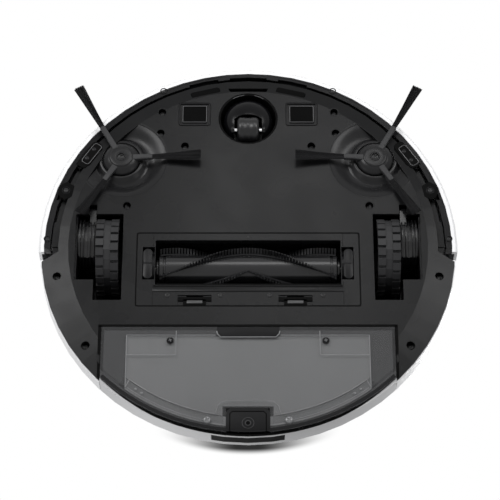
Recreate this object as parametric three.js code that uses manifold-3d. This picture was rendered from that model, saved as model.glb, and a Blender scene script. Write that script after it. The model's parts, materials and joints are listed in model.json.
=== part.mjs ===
// Robot vacuum cleaner with a mop tank, as an assembly of separate pieces.
// Millimetres, +Z up. The origin is on the floor under the centre of the round body.
// The robot drives towards -Y; the tank slides out towards +Y.

import * as THREE from 'three';
import { mergeVertices } from 'three/addons/utils/BufferGeometryUtils.js';
import Module from 'manifold-3d';

const wasm = await Module();
wasm.setup();

// ---------------------------------------------------------------- driving dimensions

const bodyRadius = 173.5;        // outside of the white shell
const bumperProud = 1.5;         // the bumper stands this far outside the shell
const groundClearance = 10;      // floor to the flat underside
const bodyTop = 78;              // floor to the flat top
const leanStart = 30;            // height at which the side wall starts to lean in
const leanAngle = THREE.MathUtils.degToRad(30);
const topRound = 24;             // radius of the rounding between the side and the top
const shellWall = 2.4;
const floorWall = 2.5;
const seat = 0.3;                // gap between pieces that sit on each other
const panelGap = 0.6;            // visible gap between neighbouring covers
const ringSegments = 56;

// Places in plan follow the body's radius, as parts of it, to a tenth of a millimetre.
const share = (part) => Math.round(part * bodyRadius * 10) / 10;

const plateRadius = share(0.8646); // where the flat underside ends and the flange starts
const flangeRise = 4.5;          // how far the flange climbs to the rim
const bumperTravel = 2.8;
const bumperLip = 4.5;           // thickness of the bumper's lower rim
const bumperBottom = 13.5;
const bumperTopEdge = 51;
const bumperEndY = 6;
const carrierEndY = bumperEndY - 3.8;
const flangeEndY = carrierEndY + bumperTravel + 1.6; // the rear flange starts behind the carrier's end
const flangeEndSlant = 9;
const sideWallStartY = bumperEndY + bumperTravel + 4.2; // and the shell's side wall behind the bumper's
const bumperGuide = { frontY: -24, rearY: 0, bottom: 16, top: 23 };

const wheelRadius = 32.5;
const tyreWidth = 18.6;
const wheelX = share(0.6755);
const axleY = 1.5;
const treadDepth = 2.3;
const treadBlocks = 24;
const rimRadius = 26;
const wheelSides = { inner: wheelX - tyreWidth / 2, outer: wheelX + tyreWidth / 2 };
const arm = { pivotY: -33, pivotZ: 17.3, pivotRadius: 4, pinRadius: 2.5 };
const gearbox = { y: -10, z: 33, radius: 22.7, innerX: wheelSides.outer + 1.1, width: 14.9, neckWidth: 5.3 };
const wheelOpening = {
  innerX: wheelSides.inner - 3.4, outerX: wheelSides.outer + 0.6, frontY: -28.3, rearY: 52.7,
};
const gearboxOpening = { outerX: gearbox.innerX + gearbox.width + 1.7, rearY: 33.8 };
const archWall = 2;

const casterBore = 25.5;
const caster = {
  y: -(plateRadius - casterBore - 2), trail: 11.2, wheelRadius: 11, wheelWidth: 19, bore: casterBore,
  domeRadius: 18.5,
};

const cover = { halfX: wheelOpening.innerX - 12.5, frontY: -9.5, rearY: 57.7, wall: 2.6 };
const mouth = { halfX: cover.halfX - 15, frontY: -3, rearY: 39 };
const roller = {
  y: 18.5, z: 24, drum: 13, tip: 20, halfLength: mouth.halfX - 3, strips: 4, apex: -2.65, twist: 1.9,
};
const latchCentres = [-44, 39];
const latch = { width: 13.4, depth: 6.4, travel: 3, notchWidth: 28, notchDepth: 9.4 };

const brush = {
  x: share(0.6225), y: -share(0.4726), ring: 15.7, recess: 17, disc: 9.7, sleeve: 27, reach: 68, tipZ: 1.1,
};
const scallop = {
  x: brush.x - 2, y: brush.y + 0.2, radius: share(0.2133), lip: 3.5, depth: 5.4, innerRadius: 20,
};

const contact = { x: caster.bore + 20.5, y: caster.y - 4.3, width: 20.7, depth: 16.4, frame: 3.5 };
const screwHoles = [
  [0.4265, -0.7435],
  [0.4323, -0.6225],
  [0.3112, -0.5476],
  [0.5879, -0.2104],
  [0.9124, 0.17],
  [0.7631, 0.536],
].map(([x, y]) => [share(x), share(y)]);
const screwHoleRadius = 3.6;
const sideSensor = {
  x: share(0.7643), y: -share(0.4957), length: 20, width: 6.5, turn: THREE.MathUtils.degToRad(56.5),
};
// The flange is cut back behind the bumper, and once more at the sides, behind the line sideY.
const frontFlange = {
  radius: bodyRadius - 11.5, sideRadius: bodyRadius - 15, ledgeRadius: bodyRadius - 10,
  sideY: sideSensor.y + 12,
};
const carrierRelief = {
  depth: 1.7,                    // how far the reliefs cut into the carrier
  rise: 4,
  lip: 2,
  centreHalfX: 16,
  front: [share(0.15), share(0.294)],
  sensor: [sideSensor.y - 15, sideSensor.y + 7],
  pocket: [-share(0.34), -share(0.2536)],
};
const frontNotch = { halfTop: 17.4, halfBottom: 15.7, frontY: -plateRadius - 3.6, rearY: -plateRadius + 0.3 };
const frontSensor = {
  x: share(0.2133), y: -share(0.8617), length: 25, width: 5, turn: THREE.MathUtils.degToRad(14),
};

const tankSeam = 38.3;           // the shell's rear wall starts above the tank
const tank = {
  halfX: share(0.6899), frontY: cover.rearY + 19.5, top: tankSeam - 2.3, lid: 1.5, wall: 2,
  radius: bodyRadius - 1.9,
};
const releaseButton = { halfWidth: 29.5, bottom: 15.5, height: 10, travel: 2.5 };
const tankLatch = {
  halfX: 17.5, frontY: tank.radius - 21.6, rise: 4, bossY: tank.radius - 9.8, bossRadius: 5,
};
const tray = { halfX: tank.halfX - 20.7, frontY: tank.frontY + 7.6, radius: tank.radius - 14.6 };

const topButton = { x: 15, y: -share(0.5533), radius: 8, travel: 1.5, flange: 1.6 };

// ---------------------------------------------------------------- solids

function solid(geometry) {
  const bare = geometry.clone();
  bare.deleteAttribute('normal');
  bare.deleteAttribute('uv');
  const merged = mergeVertices(bare, 1e-3);
  const index = Array.from(merged.index.array);
  const triangles = [];
  for (let i = 0; i < index.length; i += 3) {
    const [a, b, c] = index.slice(i, i + 3);
    if (a !== b && b !== c && c !== a) triangles.push(a, b, c);
  }
  const points = merged.attributes.position.array;
  if (signedVolume(points, triangles) < 0) triangles.reverse();
  return new wasm.Manifold(new wasm.Mesh({
    numProp: 3,
    vertProperties: new Float32Array(points),
    triVerts: new Uint32Array(triangles),
  }));
}

function signedVolume(points, triangles) {
  const corner = triangles.map((i) => new THREE.Vector3().fromArray(points, 3 * i));
  let volume = 0;
  for (let i = 0; i < corner.length; i += 3) {
    volume += corner[i].dot(corner[i + 1].clone().cross(corner[i + 2])) / 6;
  }
  return volume;
}

const join = (...parts) => parts.reduce((whole, part) => whole.add(part));
const cut = (body, ...tools) => tools.reduce((rest, tool) => rest.subtract(tool), body);
const common = (a, b) => a.intersect(b);

function box(x0, x1, y0, y1, z0, z1) {
  const geometry = new THREE.BoxGeometry(x1 - x0, y1 - y0, z1 - z0);
  geometry.translate((x0 + x1) / 2, (y0 + y1) / 2, (z0 + z1) / 2);
  return solid(geometry);
}

// A vertical prism of a shape drawn in X and Y.
function prism(shape, z0, z1, curveSegments = 6) {
  const geometry = new THREE.ExtrudeGeometry(shape, { depth: z1 - z0, bevelEnabled: false, curveSegments });
  geometry.translate(0, 0, z0);
  return solid(geometry);
}

// A prism along X of a shape drawn in Y and Z.
function prismX(shape, x0, x1, { curveSegments = 6, y = 0, z = 0 } = {}) {
  const geometry = new THREE.ExtrudeGeometry(shape, { depth: x1 - x0, bevelEnabled: false, curveSegments });
  geometry.applyMatrix4(new THREE.Matrix4().set(0, 0, 1, x0, 1, 0, 0, y, 0, 1, 0, z, 0, 0, 0, 1));
  return solid(geometry);
}

// A solid of revolution about the vertical line through (x, y), from points [radius, height].
function revolve(profile, segments = ringSegments, x = 0, y = 0) {
  const geometry = new THREE.LatheGeometry(profile.map(([r, z]) => new THREE.Vector2(r, z)), segments);
  geometry.rotateX(Math.PI / 2);
  geometry.translate(x, y, 0);
  return solid(geometry);
}

// The same about a line along X through (y, z), from points [radius, x].
function revolveX(profile, y, z, segments = 32) {
  const geometry = new THREE.LatheGeometry(profile.map(([r, x]) => new THREE.Vector2(r, x)), segments);
  geometry.rotateZ(-Math.PI / 2);
  geometry.translate(0, y, z);
  return solid(geometry);
}

const disc = (radius, z0, z1, x = 0, y = 0, segments = 20) =>
  revolve([[0, z0], [radius, z0], [radius, z1], [0, z1]], segments, x, y);

// An upright ring round the robot's centre.
const ring = (r0, r1, z0, z1) =>
  revolve([[r0, z0], [r1, z0], [r1, z1], [r0, z1], [r0, z0]]);

const rodX = (radius, x0, x1, y, z, segments = 20) =>
  revolveX([[0, x0], [radius, x0], [radius, x1], [0, x1]], y, z, segments);

const loop = (points) => [...points, points[0]];

function roundedRectangle(x0, x1, y0, y1, r) {
  const shape = new THREE.Shape();
  shape.absarc(x1 - r, y0 + r, r, -Math.PI / 2, 0, false);
  shape.absarc(x1 - r, y1 - r, r, 0, Math.PI / 2, false);
  shape.absarc(x0 + r, y1 - r, r, Math.PI / 2, Math.PI, false);
  shape.absarc(x0 + r, y0 + r, r, Math.PI, 1.5 * Math.PI, false);
  return shape;
}

const roundedBox = (x0, x1, y0, y1, z0, z1, r) => prism(roundedRectangle(x0, x1, y0, y1, r), z0, z1, 2);

// A bar with a rounded-rectangle outline, turned about its own vertical axis.
function turnedBar({ x, y, length, width, turn }, z0, z1, grow = 0) {
  const halfLength = length / 2 + grow;
  const halfWidth = width / 2 + grow;
  const shape = roundedRectangle(-halfLength, halfLength, -halfWidth, halfWidth, 1.5);
  const settings = { depth: z1 - z0, bevelEnabled: false, curveSegments: 2 };
  const geometry = new THREE.ExtrudeGeometry(shape, settings);
  geometry.rotateZ(turn);
  geometry.translate(x, y, z0);
  return solid(geometry);
}

const mirrored = (side, { x, turn, ...rest }) => ({ x: side * x, turn: side * turn, ...rest });

// ---------------------------------------------------------------- the shell's outline

const leanTan = Math.tan(leanAngle);
const arcCentreZ = bodyTop - topRound;
const leanEnd = arcCentreZ + topRound * Math.sin(leanAngle);
const arcCentreR = bodyRadius - (leanEnd - leanStart) * leanTan - topRound * Math.cos(leanAngle);

// Radius of the side wall at a height, moved inwards by an inset measured square to the wall.
function wallRadius(z, inset = 0) {
  const bend = leanStart - inset * Math.tan(leanAngle / 2);
  return z <= bend ? bodyRadius - inset : bodyRadius - inset - (z - bend) * leanTan;
}

// The solid inside the shell's surface, moved inwards by an inset.
function shellCore(inset, z0, arcSteps = 4) {
  const bend = leanStart - inset * Math.tan(leanAngle / 2);
  const profile = [[0, z0], [wallRadius(z0, inset), z0], [wallRadius(bend, inset), bend]];
  for (let i = 0; i <= arcSteps; i += 1) {
    const angle = leanAngle + (Math.PI / 2 - leanAngle) * (i / arcSteps);
    const radius = topRound - inset;
    profile.push([arcCentreR + radius * Math.cos(angle), arcCentreZ + radius * Math.sin(angle)]);
  }
  profile.push([0, bodyTop - inset]);
  return revolve(profile);
}

// A band that follows the side wall between two heights.
function wallBand(outerInset, innerInset, z0, z1) {
  const bendOuter = leanStart - outerInset * Math.tan(leanAngle / 2);
  const bendInner = leanStart - innerInset * Math.tan(leanAngle / 2);
  const outside = [[wallRadius(z0, outerInset), z0]];
  if (z1 > bendOuter) outside.push([wallRadius(bendOuter, outerInset), bendOuter]);
  outside.push([wallRadius(z1, outerInset), z1]);
  const inside = [[wallRadius(z1, innerInset), z1]];
  if (z1 > bendInner) inside.push([wallRadius(bendInner, innerInset), bendInner]);
  inside.push([wallRadius(z0, innerInset), z0]);
  return revolve(loop([...outside, ...inside]));
}

const far = 2 * bodyRadius;
const behind = (y, z0 = -far, z1 = far) => box(-far, far, y, far, z0, z1);
const inFront = (y, z0 = -far, z1 = far) => box(-far, far, -far, y, z0, z1);

// ---------------------------------------------------------------- materials and nodes

const paint = (color, roughness, metalness = 0) =>
  new THREE.MeshStandardMaterial({ color, roughness, metalness });
const whitePlastic = paint(0xeeeeec, 0.35);
const charcoal = paint(0x37383a, 0.55);
const black = paint(0x151516, 0.4);
const glossBlack = paint(0x0c0c0d, 0.15);
const rubber = paint(0x2a2a2b, 0.8);
const greyBristle = paint(0x3c3d3f, 0.9);
const smoked = paint(0x8d9092, 0.1);
smoked.opacity = 0.5;
smoked.transparent = true;
const palePlastic = paint(0xb9bbbc, 0.4);
const steel = paint(0xb8babd, 0.3, 1);
const circuitGreen = paint(0x1d4a33, 0.6);

const robot = new THREE.Group();

function place(name, shape, material) {
  const { vertProperties, triVerts } = shape.getMesh();
  const geometry = new THREE.BufferGeometry();
  geometry.setAttribute('position', new THREE.BufferAttribute(vertProperties, 3));
  geometry.setIndex(new THREE.BufferAttribute(triVerts, 1));
  geometry.computeVertexNormals();
  const mesh = new THREE.Mesh(geometry, material);
  mesh.name = name;
  robot.add(mesh);
}

const sides = [['left', 1], ['right', -1]];
const span = (side, a, b) => (side > 0 ? [a, b] : [-b, -a]);

// ---------------------------------------------------------------- chassis

const floorTop = groundClearance + floorWall;
const rimZ = groundClearance + flangeRise;
const rimRadiusRear = bodyRadius - 0.9;
const wallSeatRadius = bodyRadius - shellWall - 0.5;
const perimeterTop = 24;
const carrierGap = bumperTravel + 0.5;
const carrierInner = frontFlange.radius + carrierGap;
const frontWallRearY = -50;
const bayRoof = tankSeam + 0.2;
const bayWall = 2.2;
const bayHalfX = tank.halfX + panelGap;
const bayFrontY = tank.frontY - panelGap;
const bayRadius = wallRadius(bayRoof + floorWall, shellWall + 1);
const battery = { halfX: 62, frontY: -76, rearY: -37, top: 50 };
const postX = 68;

function chassisDish() {
  const dish = revolve([
    [0, groundClearance], [plateRadius, groundClearance], [rimRadiusRear, rimZ], [rimRadiusRear, rimZ + 0.5],
    [wallSeatRadius, rimZ + 0.5], [wallSeatRadius, perimeterTop], [wallSeatRadius - 2, perimeterTop],
    [wallSeatRadius - 2, rimZ + floorWall], [plateRadius, floorTop], [0, floorTop],
  ]);
  const guideRadius = carrierInner - 0.7;
  const guides = common(
    ring(frontFlange.sideRadius - 2, guideRadius, bumperGuide.bottom, bumperGuide.top),
    box(-far, far, bumperGuide.frontY, bumperGuide.rearY, -far, far),
  );
  const { radius, sideRadius, ledgeRadius, sideY } = frontFlange;
  const frontInset = bodyRadius - radius;
  const sideInset = bodyRadius - sideRadius;
  const frontWall = wallBand(frontInset, frontInset + floorWall, rimZ - 2, bumperTopEdge);
  const sideWall = wallBand(sideInset, sideInset + floorWall, rimZ - 2, perimeterTop);
  const beside = (shape, rearY) => common(shape, box(-far, far, sideY, rearY, -far, far));
  const ledge = cut(
    ring(sideRadius - floorWall, ledgeRadius, rimZ + 2.5, perimeterTop),
    box(-far, far, ...carrierRelief.pocket, 0, perimeterTop - floorWall),
  );
  const trimmed = cut(
    dish,
    common(ring(radius, far, 0, rimZ + 0.5), flangeFront()),
    common(ring(radius, far, rimZ + 0.4, far), inFront(sideWallStartY)),
  );
  const sideCut = common(ring(sideRadius, far, 0, rimZ + 2.5), flangeFront());
  const whole = cut(
    join(trimmed, common(frontWall, inFront(frontWallRearY)), beside(sideWall, sideWallStartY)),
    common(sideCut, box(-far, far, sideY, far, 0, far)),
    beside(ring(ledgeRadius - 3, far, 0, perimeterTop - 0.5), flangeEndY),
  );
  return join(whole, beside(ledge, flangeEndY), guides);
}

// The plan of everything in front of the rear flange, whose ends slant back to the rim.
function flangeFront() {
  const ends = [
    [frontFlange.sideRadius, flangeEndY], [bodyRadius, flangeEndY + flangeEndSlant],
    [far, flangeEndY + flangeEndSlant],
  ];
  const points = [[-far, -far], [far, -far], ...ends.slice().reverse(), ...ends.map(([x, y]) => [-x, y])];
  return prism(new THREE.Shape(points.map(([x, y]) => new THREE.Vector2(x, y))), 0, far);
}

const housing = { margin: 3, top: 49.5, channelGap: 3.5, channelEnd: cover.halfX - 2, coverRoom: 6 };

// The room that the cover, the roller and the mouth of the air duct take up.
function rollerRoom() {
  const radius = roller.tip + housing.channelGap;
  const end = housing.channelEnd;
  return join(
    box(-cover.halfX - panelGap, cover.halfX + panelGap, cover.frontY - panelGap, cover.rearY + panelGap,
      groundClearance - 1, groundClearance + housing.coverRoom),
    box(-end, end, roller.y - radius, roller.y + radius, groundClearance, roller.z),
    rodX(radius, -end, end, roller.y, roller.z, 24),
    box(-duct.halfX, duct.halfX, roller.y, cover.rearY + housing.margin + 1, duct.bottom, duct.top),
  );
}

// A separate housing stands on the base plate over the main brush.
function brushHousing() {
  const { margin, top } = housing;
  const halfX = cover.halfX + margin;
  const block = box(-halfX, halfX, cover.frontY - margin, cover.rearY + margin, floorTop + seat, top);
  return cut(block, rollerRoom());
}

const duct = { halfX: 35, bottom: tank.top - 9, top: tank.top + 1, wall: 1.6 };

function tankBay() {
  const outer = { halfX: bayHalfX + bayWall, frontY: bayFrontY - bayWall };
  const bayShape = (halfX, frontY, z0, z1, radius) =>
    common(box(-halfX, halfX, frontY, far, z0, z1), disc(radius, z0 - 1, z1 + 1, 0, 0, ringSegments));
  const walls = bayShape(outer.halfX, outer.frontY, floorTop - 1, bayRoof + floorWall, bayRadius);
  const hollow = bayShape(bayHalfX, bayFrontY, groundClearance - 1, bayRoof, far);
  const ductHole = box(-duct.halfX, duct.halfX, outer.frontY - 1, bayFrontY + 1, duct.bottom, duct.top);
  return { walls, hollow: join(hollow, ductHole) };
}

function wheelHole(side) {
  const { innerX, outerX, frontY, rearY } = wheelOpening;
  const [wx0, wx1] = span(side, innerX, outerX + 1);
  const [gx0, gx1] = span(side, outerX, gearboxOpening.outerX);
  const [sx0, sx1] = span(side, gearbox.innerX - 0.7, gearbox.innerX + gearbox.neckWidth + 0.6);
  const slotFrontY = arm.pivotY - arm.pivotRadius - 0.4;
  const low = groundClearance - 1;
  const high = floorTop + 1;
  return join(
    roundedBox(wx0, wx1, frontY, rearY, low, high, 0.8),
    roundedBox(gx0, gx1, frontY, gearboxOpening.rearY, low, high, 0.8),
    box(sx0, sx1, slotFrontY, frontY + 2, low, high),
  );
}

// The two lugs that hold the suspension arm's pin.
function armLugs(side) {
  const lugWidth = 2.7;
  const neckOuterX = gearbox.innerX + gearbox.neckWidth;
  const height = arm.pivotZ + arm.pinRadius + 2.4;
  const lugs = [gearbox.innerX - 0.9 - lugWidth, neckOuterX + 0.8].map((x) => {
    const [x0, x1] = span(side, x, x + lugWidth);
    return box(x0, x1, arm.pivotY - 4.7, arm.pivotY + 2.5, floorTop - 1, height);
  });
  const [h0, h1] = span(side, gearbox.innerX - 8, neckOuterX + 8);
  return cut(join(...lugs), rodX(arm.pinRadius + seat, h0, h1, arm.pivotY, arm.pivotZ, 16));
}

function scallopRaise(side) {
  return common(
    disc(scallop.radius + floorWall, floorTop - 1, floorTop + scallop.depth, side * scallop.x, scallop.y, 32),
    disc(plateRadius + floorWall, 0, bodyTop, 0, 0, ringSegments),
  );
}

// A shallow dish round each side brush, cut off where the flange starts, and a round recess for the hub.
function scallopHollow(side) {
  const deep = groundClearance + scallop.depth;
  const { radius, lip, innerRadius } = scallop;
  const dish = revolve([
    [0, groundClearance - 1], [radius, groundClearance - 1], [radius, groundClearance],
    [radius - lip, groundClearance + 1.6], [(radius + innerRadius) / 2, deep - 0.8], [innerRadius, deep],
    [0, deep],
  ], 36, side * scallop.x, scallop.y);
  return join(
    common(dish, disc(plateRadius - 0.4, 0, bodyTop, 0, 0, ringSegments)),
    disc(brush.recess, groundClearance - 1, deep, side * brush.x, brush.y, 32),
    disc(6, groundClearance, floorTop + scallop.depth + 1, side * brush.x, brush.y, 16),
  );
}

// A trapezoidal slot in the middle of the front edge.
function frontSlot() {
  const { halfTop, halfBottom, frontY, rearY } = frontNotch;
  const shape = new THREE.Shape([
    new THREE.Vector2(-halfTop, frontY), new THREE.Vector2(halfTop, frontY),
    new THREE.Vector2(halfBottom, rearY), new THREE.Vector2(-halfBottom, rearY),
  ]);
  return prism(shape, groundClearance - 1, floorTop + 3);
}

// The outline of a charging contact, grown on every side.
function contactBlock(side, grow, z0, z1, corner) {
  const halfX = contact.width / 2 + grow;
  const halfY = contact.depth / 2 + grow;
  const x = side * contact.x;
  return roundedBox(x - halfX, x + halfX, contact.y - halfY, contact.y + halfY, z0, z1, corner);
}

function chassis() {
  const bay = tankBay();
  const additions = [bay.walls];
  const casterHole = disc(caster.bore, groundClearance - 1, floorTop + 1, 0, caster.y, 32);
  const hollows = [rollerRoom(), bay.hollow, frontSlot(), casterHole];
  for (const [, side] of sides) {
    additions.push(scallopRaise(side));
    hollows.push(wheelHole(side), scallopHollow(side));
    hollows.push(turnedBar(mirrored(side, sideSensor), groundClearance - 1, floorTop + 9, seat));
    hollows.push(turnedBar(mirrored(side, frontSensor), groundClearance - 1, floorTop + 9, seat));
    hollows.push(
      contactBlock(side, contact.frame, groundClearance - 1, groundClearance + 0.8, 2.5),
      contactBlock(side, seat, groundClearance, floorTop + 1, 1.2),
    );
    for (const [x, y] of screwHoles) {
      hollows.push(disc(screwHoleRadius, groundClearance - 1, floorTop + 3, side * x, y, 8));
    }
  }
  const body = cut(join(chassisDish(), ...additions), ...hollows);
  const posts = [[-1, battery.frontY], [1, battery.frontY], [-1, battery.rearY], [1, battery.rearY]]
    .map(([side, y]) => disc(3.5, floorTop - 1, battery.top, side * postX, y, 10));
  return join(body, ...posts, ...sides.map(([, side]) => armLugs(side)));
}

place('base_plate', chassis(), charcoal);
place('brush_housing', brushHousing(), black);

// ---------------------------------------------------------------- white covers and bumper

function topCover() {
  const low = rimZ + 0.5 + seat;
  let body = cut(shellCore(0, low), shellCore(shellWall, low - 1, 2));
  body = cut(
    body,
    inFront(sideWallStartY, -far, bumperTopEdge + 1.3),
    box(-bayHalfX, bayHalfX, tank.frontY, far, -far, tankSeam),
  );
  const holes = [-1, 1].map((side) =>
    disc(topButton.radius + seat, bodyTop - 10, bodyTop + 1, side * topButton.x, topButton.y, 20));
  return cut(body, ...holes);
}

place('top_cover', topCover(), whitePlastic);

for (const [name, side] of [['power_button', 1], ['home_button', -1]]) {
  const under = bodyTop - shellWall - seat;
  place(name, revolve([
    [0, under - topButton.flange], [topButton.radius + 1.6, under - topButton.flange],
    [topButton.radius + 1.6, under], [topButton.radius, under],
    [topButton.radius, bodyTop - 0.6], [topButton.radius - 0.6, bodyTop - 0.1], [0, bodyTop - 0.4],
  ], 20, side * topButton.x, topButton.y), palePlastic);
}

function bumperShell() {
  const rim = revolve(loop([
    [bodyRadius + bumperProud - bumperLip, bumperBottom], [bodyRadius + bumperProud - 1.8, bumperBottom],
    [bodyRadius + bumperProud, bumperBottom + 1.8], [bodyRadius + bumperProud, bumperBottom + 4],
    [bodyRadius + bumperProud - bumperLip, bumperBottom + 4],
  ]));
  const band = wallBand(-bumperProud, shellWall - bumperProud, bumperBottom + 2, bumperTopEdge);
  return common(join(rim, band), inFront(bumperEndY));
}

place('bumper_shell', bumperShell(), whitePlastic);

// Reliefs in the carrier's inner edge leave a rail along the white bumper.
function bumperCarrier() {
  const outer = bodyRadius + bumperProud - bumperLip - seat;
  const low = rimZ - 0.6;
  const band = common(ring(carrierInner, outer, low, perimeterTop), inFront(carrierEndY));
  const { depth, rise, lip, centreHalfX, front: frontX, sensor, pocket } = carrierRelief;
  const notch = (x0, x1, y0, y1, radius, top) =>
    common(box(x0, x1, y0, y1, low - 1, top), disc(radius, 0, far, 0, 0, ringSegments));
  const through = perimeterTop + 1;
  const inner = carrierInner + depth;
  const notches = [notch(-centreHalfX, centreHalfX, -far, 0, inner, through)];
  for (const [, side] of sides) {
    const [x0, x1] = span(side, ...frontX);
    const [s0, s1] = span(side, 0, far);
    notches.push(
      notch(x0, x1, -far, 0, inner, low + rise),
      notch(s0, s1, ...sensor, inner, through),
      notch(s0, s1, ...pocket, outer - lip, low + rise),
    );
  }
  return cut(band, ...notches);
}

place('bumper_carrier', bumperCarrier(), black);

// ---------------------------------------------------------------- drive wheels

// A ring of raised blocks round the axle, as one row of the tread.
function treadRow(x0, x1, phase) {
  const inner = wheelRadius - treadDepth;
  const pitch = (2 * Math.PI) / treadBlocks;
  const corners = [[inner, -0.17], [wheelRadius, -0.1], [wheelRadius, 0.6], [inner, 0.67]];
  const points = [];
  for (let i = 0; i < treadBlocks; i += 1) {
    for (const [radius, share] of corners) {
      const angle = (i + phase + share) * pitch;
      points.push(new THREE.Vector2(radius * Math.cos(angle), radius * Math.sin(angle)));
    }
  }
  return prismX(new THREE.Shape(points), x0, x1, { y: axleY, z: wheelRadius });
}

function tyre(side) {
  const half = tyreWidth / 2;
  const rowWidth = 6.4;
  const ribDrop = 1;
  const centre = side * wheelX;
  const bore = rodX(rimRadius, centre - half - 1, centre + half + 1, axleY, wheelRadius, 24);
  return cut(join(
    treadRow(centre - half, centre - half + rowWidth, 0),
    treadRow(centre + half - rowWidth, centre + half, 0.5),
    rodX(wheelRadius - ribDrop, centre - half + rowWidth, centre + half - rowWidth, axleY, wheelRadius, 24),
  ), bore);
}

const axleRadius = 3;
const gearboxReach = 4;

// The rim is open towards the middle of the robot; its axle runs out into the gearbox.
function rim(side) {
  const inner = side * (wheelX - tyreWidth / 2 + 0.5);
  const web = side * (wheelX + tyreWidth / 2 - 3);
  const outer = side * (wheelX + tyreWidth / 2 - 0.5);
  const axleEnd = side * (gearbox.innerX + gearboxReach);
  return revolveX(loop([
    [rimRadius - seat, inner], [rimRadius - seat, outer], [axleRadius, outer], [axleRadius, axleEnd],
    [0, axleEnd], [0, web - side * 7], [7, web - side * 7], [7, web], [rimRadius - 2.6, web],
    [rimRadius - 2.6, inner],
  ]), axleY, wheelRadius, 18);
}

// The gearbox swings with the wheel about a pin just above the floor plate.
function gearboxArm(side) {
  const width = gearbox.width;
  const section = (x0, w, radius) => {
    const [a, b] = span(side, gearbox.innerX + x0, gearbox.innerX + x0 + w);
    return rodX(radius, a, b, gearbox.y, gearbox.z, 20);
  };
  const barrel = join(
    section(0, 6.4, gearbox.radius - 0.8),
    section(6.4, 1.2, gearbox.radius),
    section(7.6, 4.6, gearbox.radius - 1.2),
    section(12.2, width - 12.2, gearbox.radius - 3),
  );
  const neckShape = new THREE.Shape();
  const reach = Math.hypot(gearbox.y - arm.pivotY, gearbox.z - arm.pivotZ);
  const lean = Math.atan2(gearbox.z - arm.pivotZ, gearbox.y - arm.pivotY);
  const big = gearbox.radius - 4;
  const spread = Math.acos((arm.pivotRadius - big) / reach);
  neckShape.absarc(0, 0, arm.pivotRadius, lean + spread, lean - spread + 2 * Math.PI, false);
  neckShape.absarc(reach * Math.cos(lean), reach * Math.sin(lean), big, lean - spread, lean + spread, false);
  const [n0, n1] = span(side, gearbox.innerX, gearbox.innerX + gearbox.neckWidth);
  const neck = prismX(neckShape, n0, n1, { curveSegments: 6, y: arm.pivotY, z: arm.pivotZ });
  const [p0, p1] = span(side, gearbox.innerX - 3.4, gearbox.innerX + gearbox.neckWidth + 3.4);
  const pin = rodX(arm.pinRadius, p0, p1, arm.pivotY, arm.pivotZ, 16);
  const [a0, a1] = span(side, gearbox.innerX - 1, gearbox.innerX + gearboxReach + seat);
  const axleHole = rodX(axleRadius + seat, a0, a1, axleY, wheelRadius, 16);
  return cut(join(barrel, neck, pin), axleHole);
}

const archTop = 2 * wheelRadius + 2.5;
const archLowTop = gearbox.z + gearbox.radius + 0.9;
const archRearY = wheelOpening.rearY + 0.4;
const archFrontY = arm.pivotY - 6;

// The dark housing over each wheel, screwed down on the floor plate.
function wheelArch(side) {
  const block = (x0, x1, y0, y1, z1, grow) => {
    const [a, b] = span(side, x0 - grow, x1 + grow);
    return box(a, b, y0 - grow, y1 + grow, grow > 0 ? floorTop + seat : groundClearance, z1 + grow);
  };
  const shell = (grow) => join(
    block(wheelOpening.innerX - 0.6, gearbox.innerX + 1, archFrontY, archRearY, archTop, grow),
    block(gearbox.innerX - 0.5, gearbox.innerX + gearbox.width + 0.3, archFrontY, gearboxOpening.rearY + 0.4,
      archLowTop, grow),
  );
  // The cover's roof limits how high the arch may stand.
  return common(cut(shell(archWall), shell(0)), shellCore(shellWall + seat, 0));
}

for (const [name, side] of sides) {
  place(`tyre_${name}`, tyre(side), rubber);
  place(`wheel_rim_${name}`, rim(side), black);
  place(`wheel_gearbox_${name}`, gearboxArm(side), black);
  place(`wheel_arch_${name}`, wheelArch(side), black);
}

// ---------------------------------------------------------------- caster

const casterCup = {
  outer: caster.bore - seat, wall: 1.3, flange: caster.bore + 0.8, top: 42, roof: 2.4, stem: 4,
};
const casterAxle = { radius: 1.6, y: caster.y + caster.trail };
const casterDisc = { z: 26, thickness: 3 };

function casterCupShape() {
  const { outer, wall, flange, top, roof, stem } = casterCup;
  const seatZ = floorTop + seat;
  return revolve(loop([
    [outer, groundClearance + 0.4], [outer, seatZ], [flange, seatZ], [flange, seatZ + 2], [outer, seatZ + 2],
    [outer, top], [stem + seat, top], [stem + seat, top - roof], [outer - wall, top - roof],
    [outer - wall, groundClearance + 0.4],
  ]), 24, 0, caster.y);
}

function casterFork() {
  const profile = [[0, casterDisc.z - 21]];
  const steps = 5;
  for (let i = 1; i <= steps; i += 1) {
    const angle = (Math.PI / 2) * (i / steps);
    profile.push([caster.domeRadius * Math.sin(angle), casterDisc.z - 2 - 19 * Math.cos(angle)]);
  }
  const rimR = casterCup.outer - casterCup.wall - 0.7;
  const discTop = casterDisc.z + casterDisc.thickness;
  profile.push([rimR, casterDisc.z], [rimR, discTop], [casterCup.stem, discTop]);
  profile.push([casterCup.stem, casterCup.top], [0, casterCup.top]);
  const half = caster.wheelWidth / 2 + 0.5;
  const slotFront = casterAxle.y - caster.wheelRadius - 0.8;
  const slot = box(-half, half, slotFront, caster.y + caster.bore, 0, 2 * caster.wheelRadius + 1.2);
  const hole = rodX(casterAxle.radius + 0.2, -caster.bore, caster.bore, casterAxle.y, caster.wheelRadius, 12);
  return cut(revolve(profile, 28, 0, caster.y), slot, hole);
}

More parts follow.
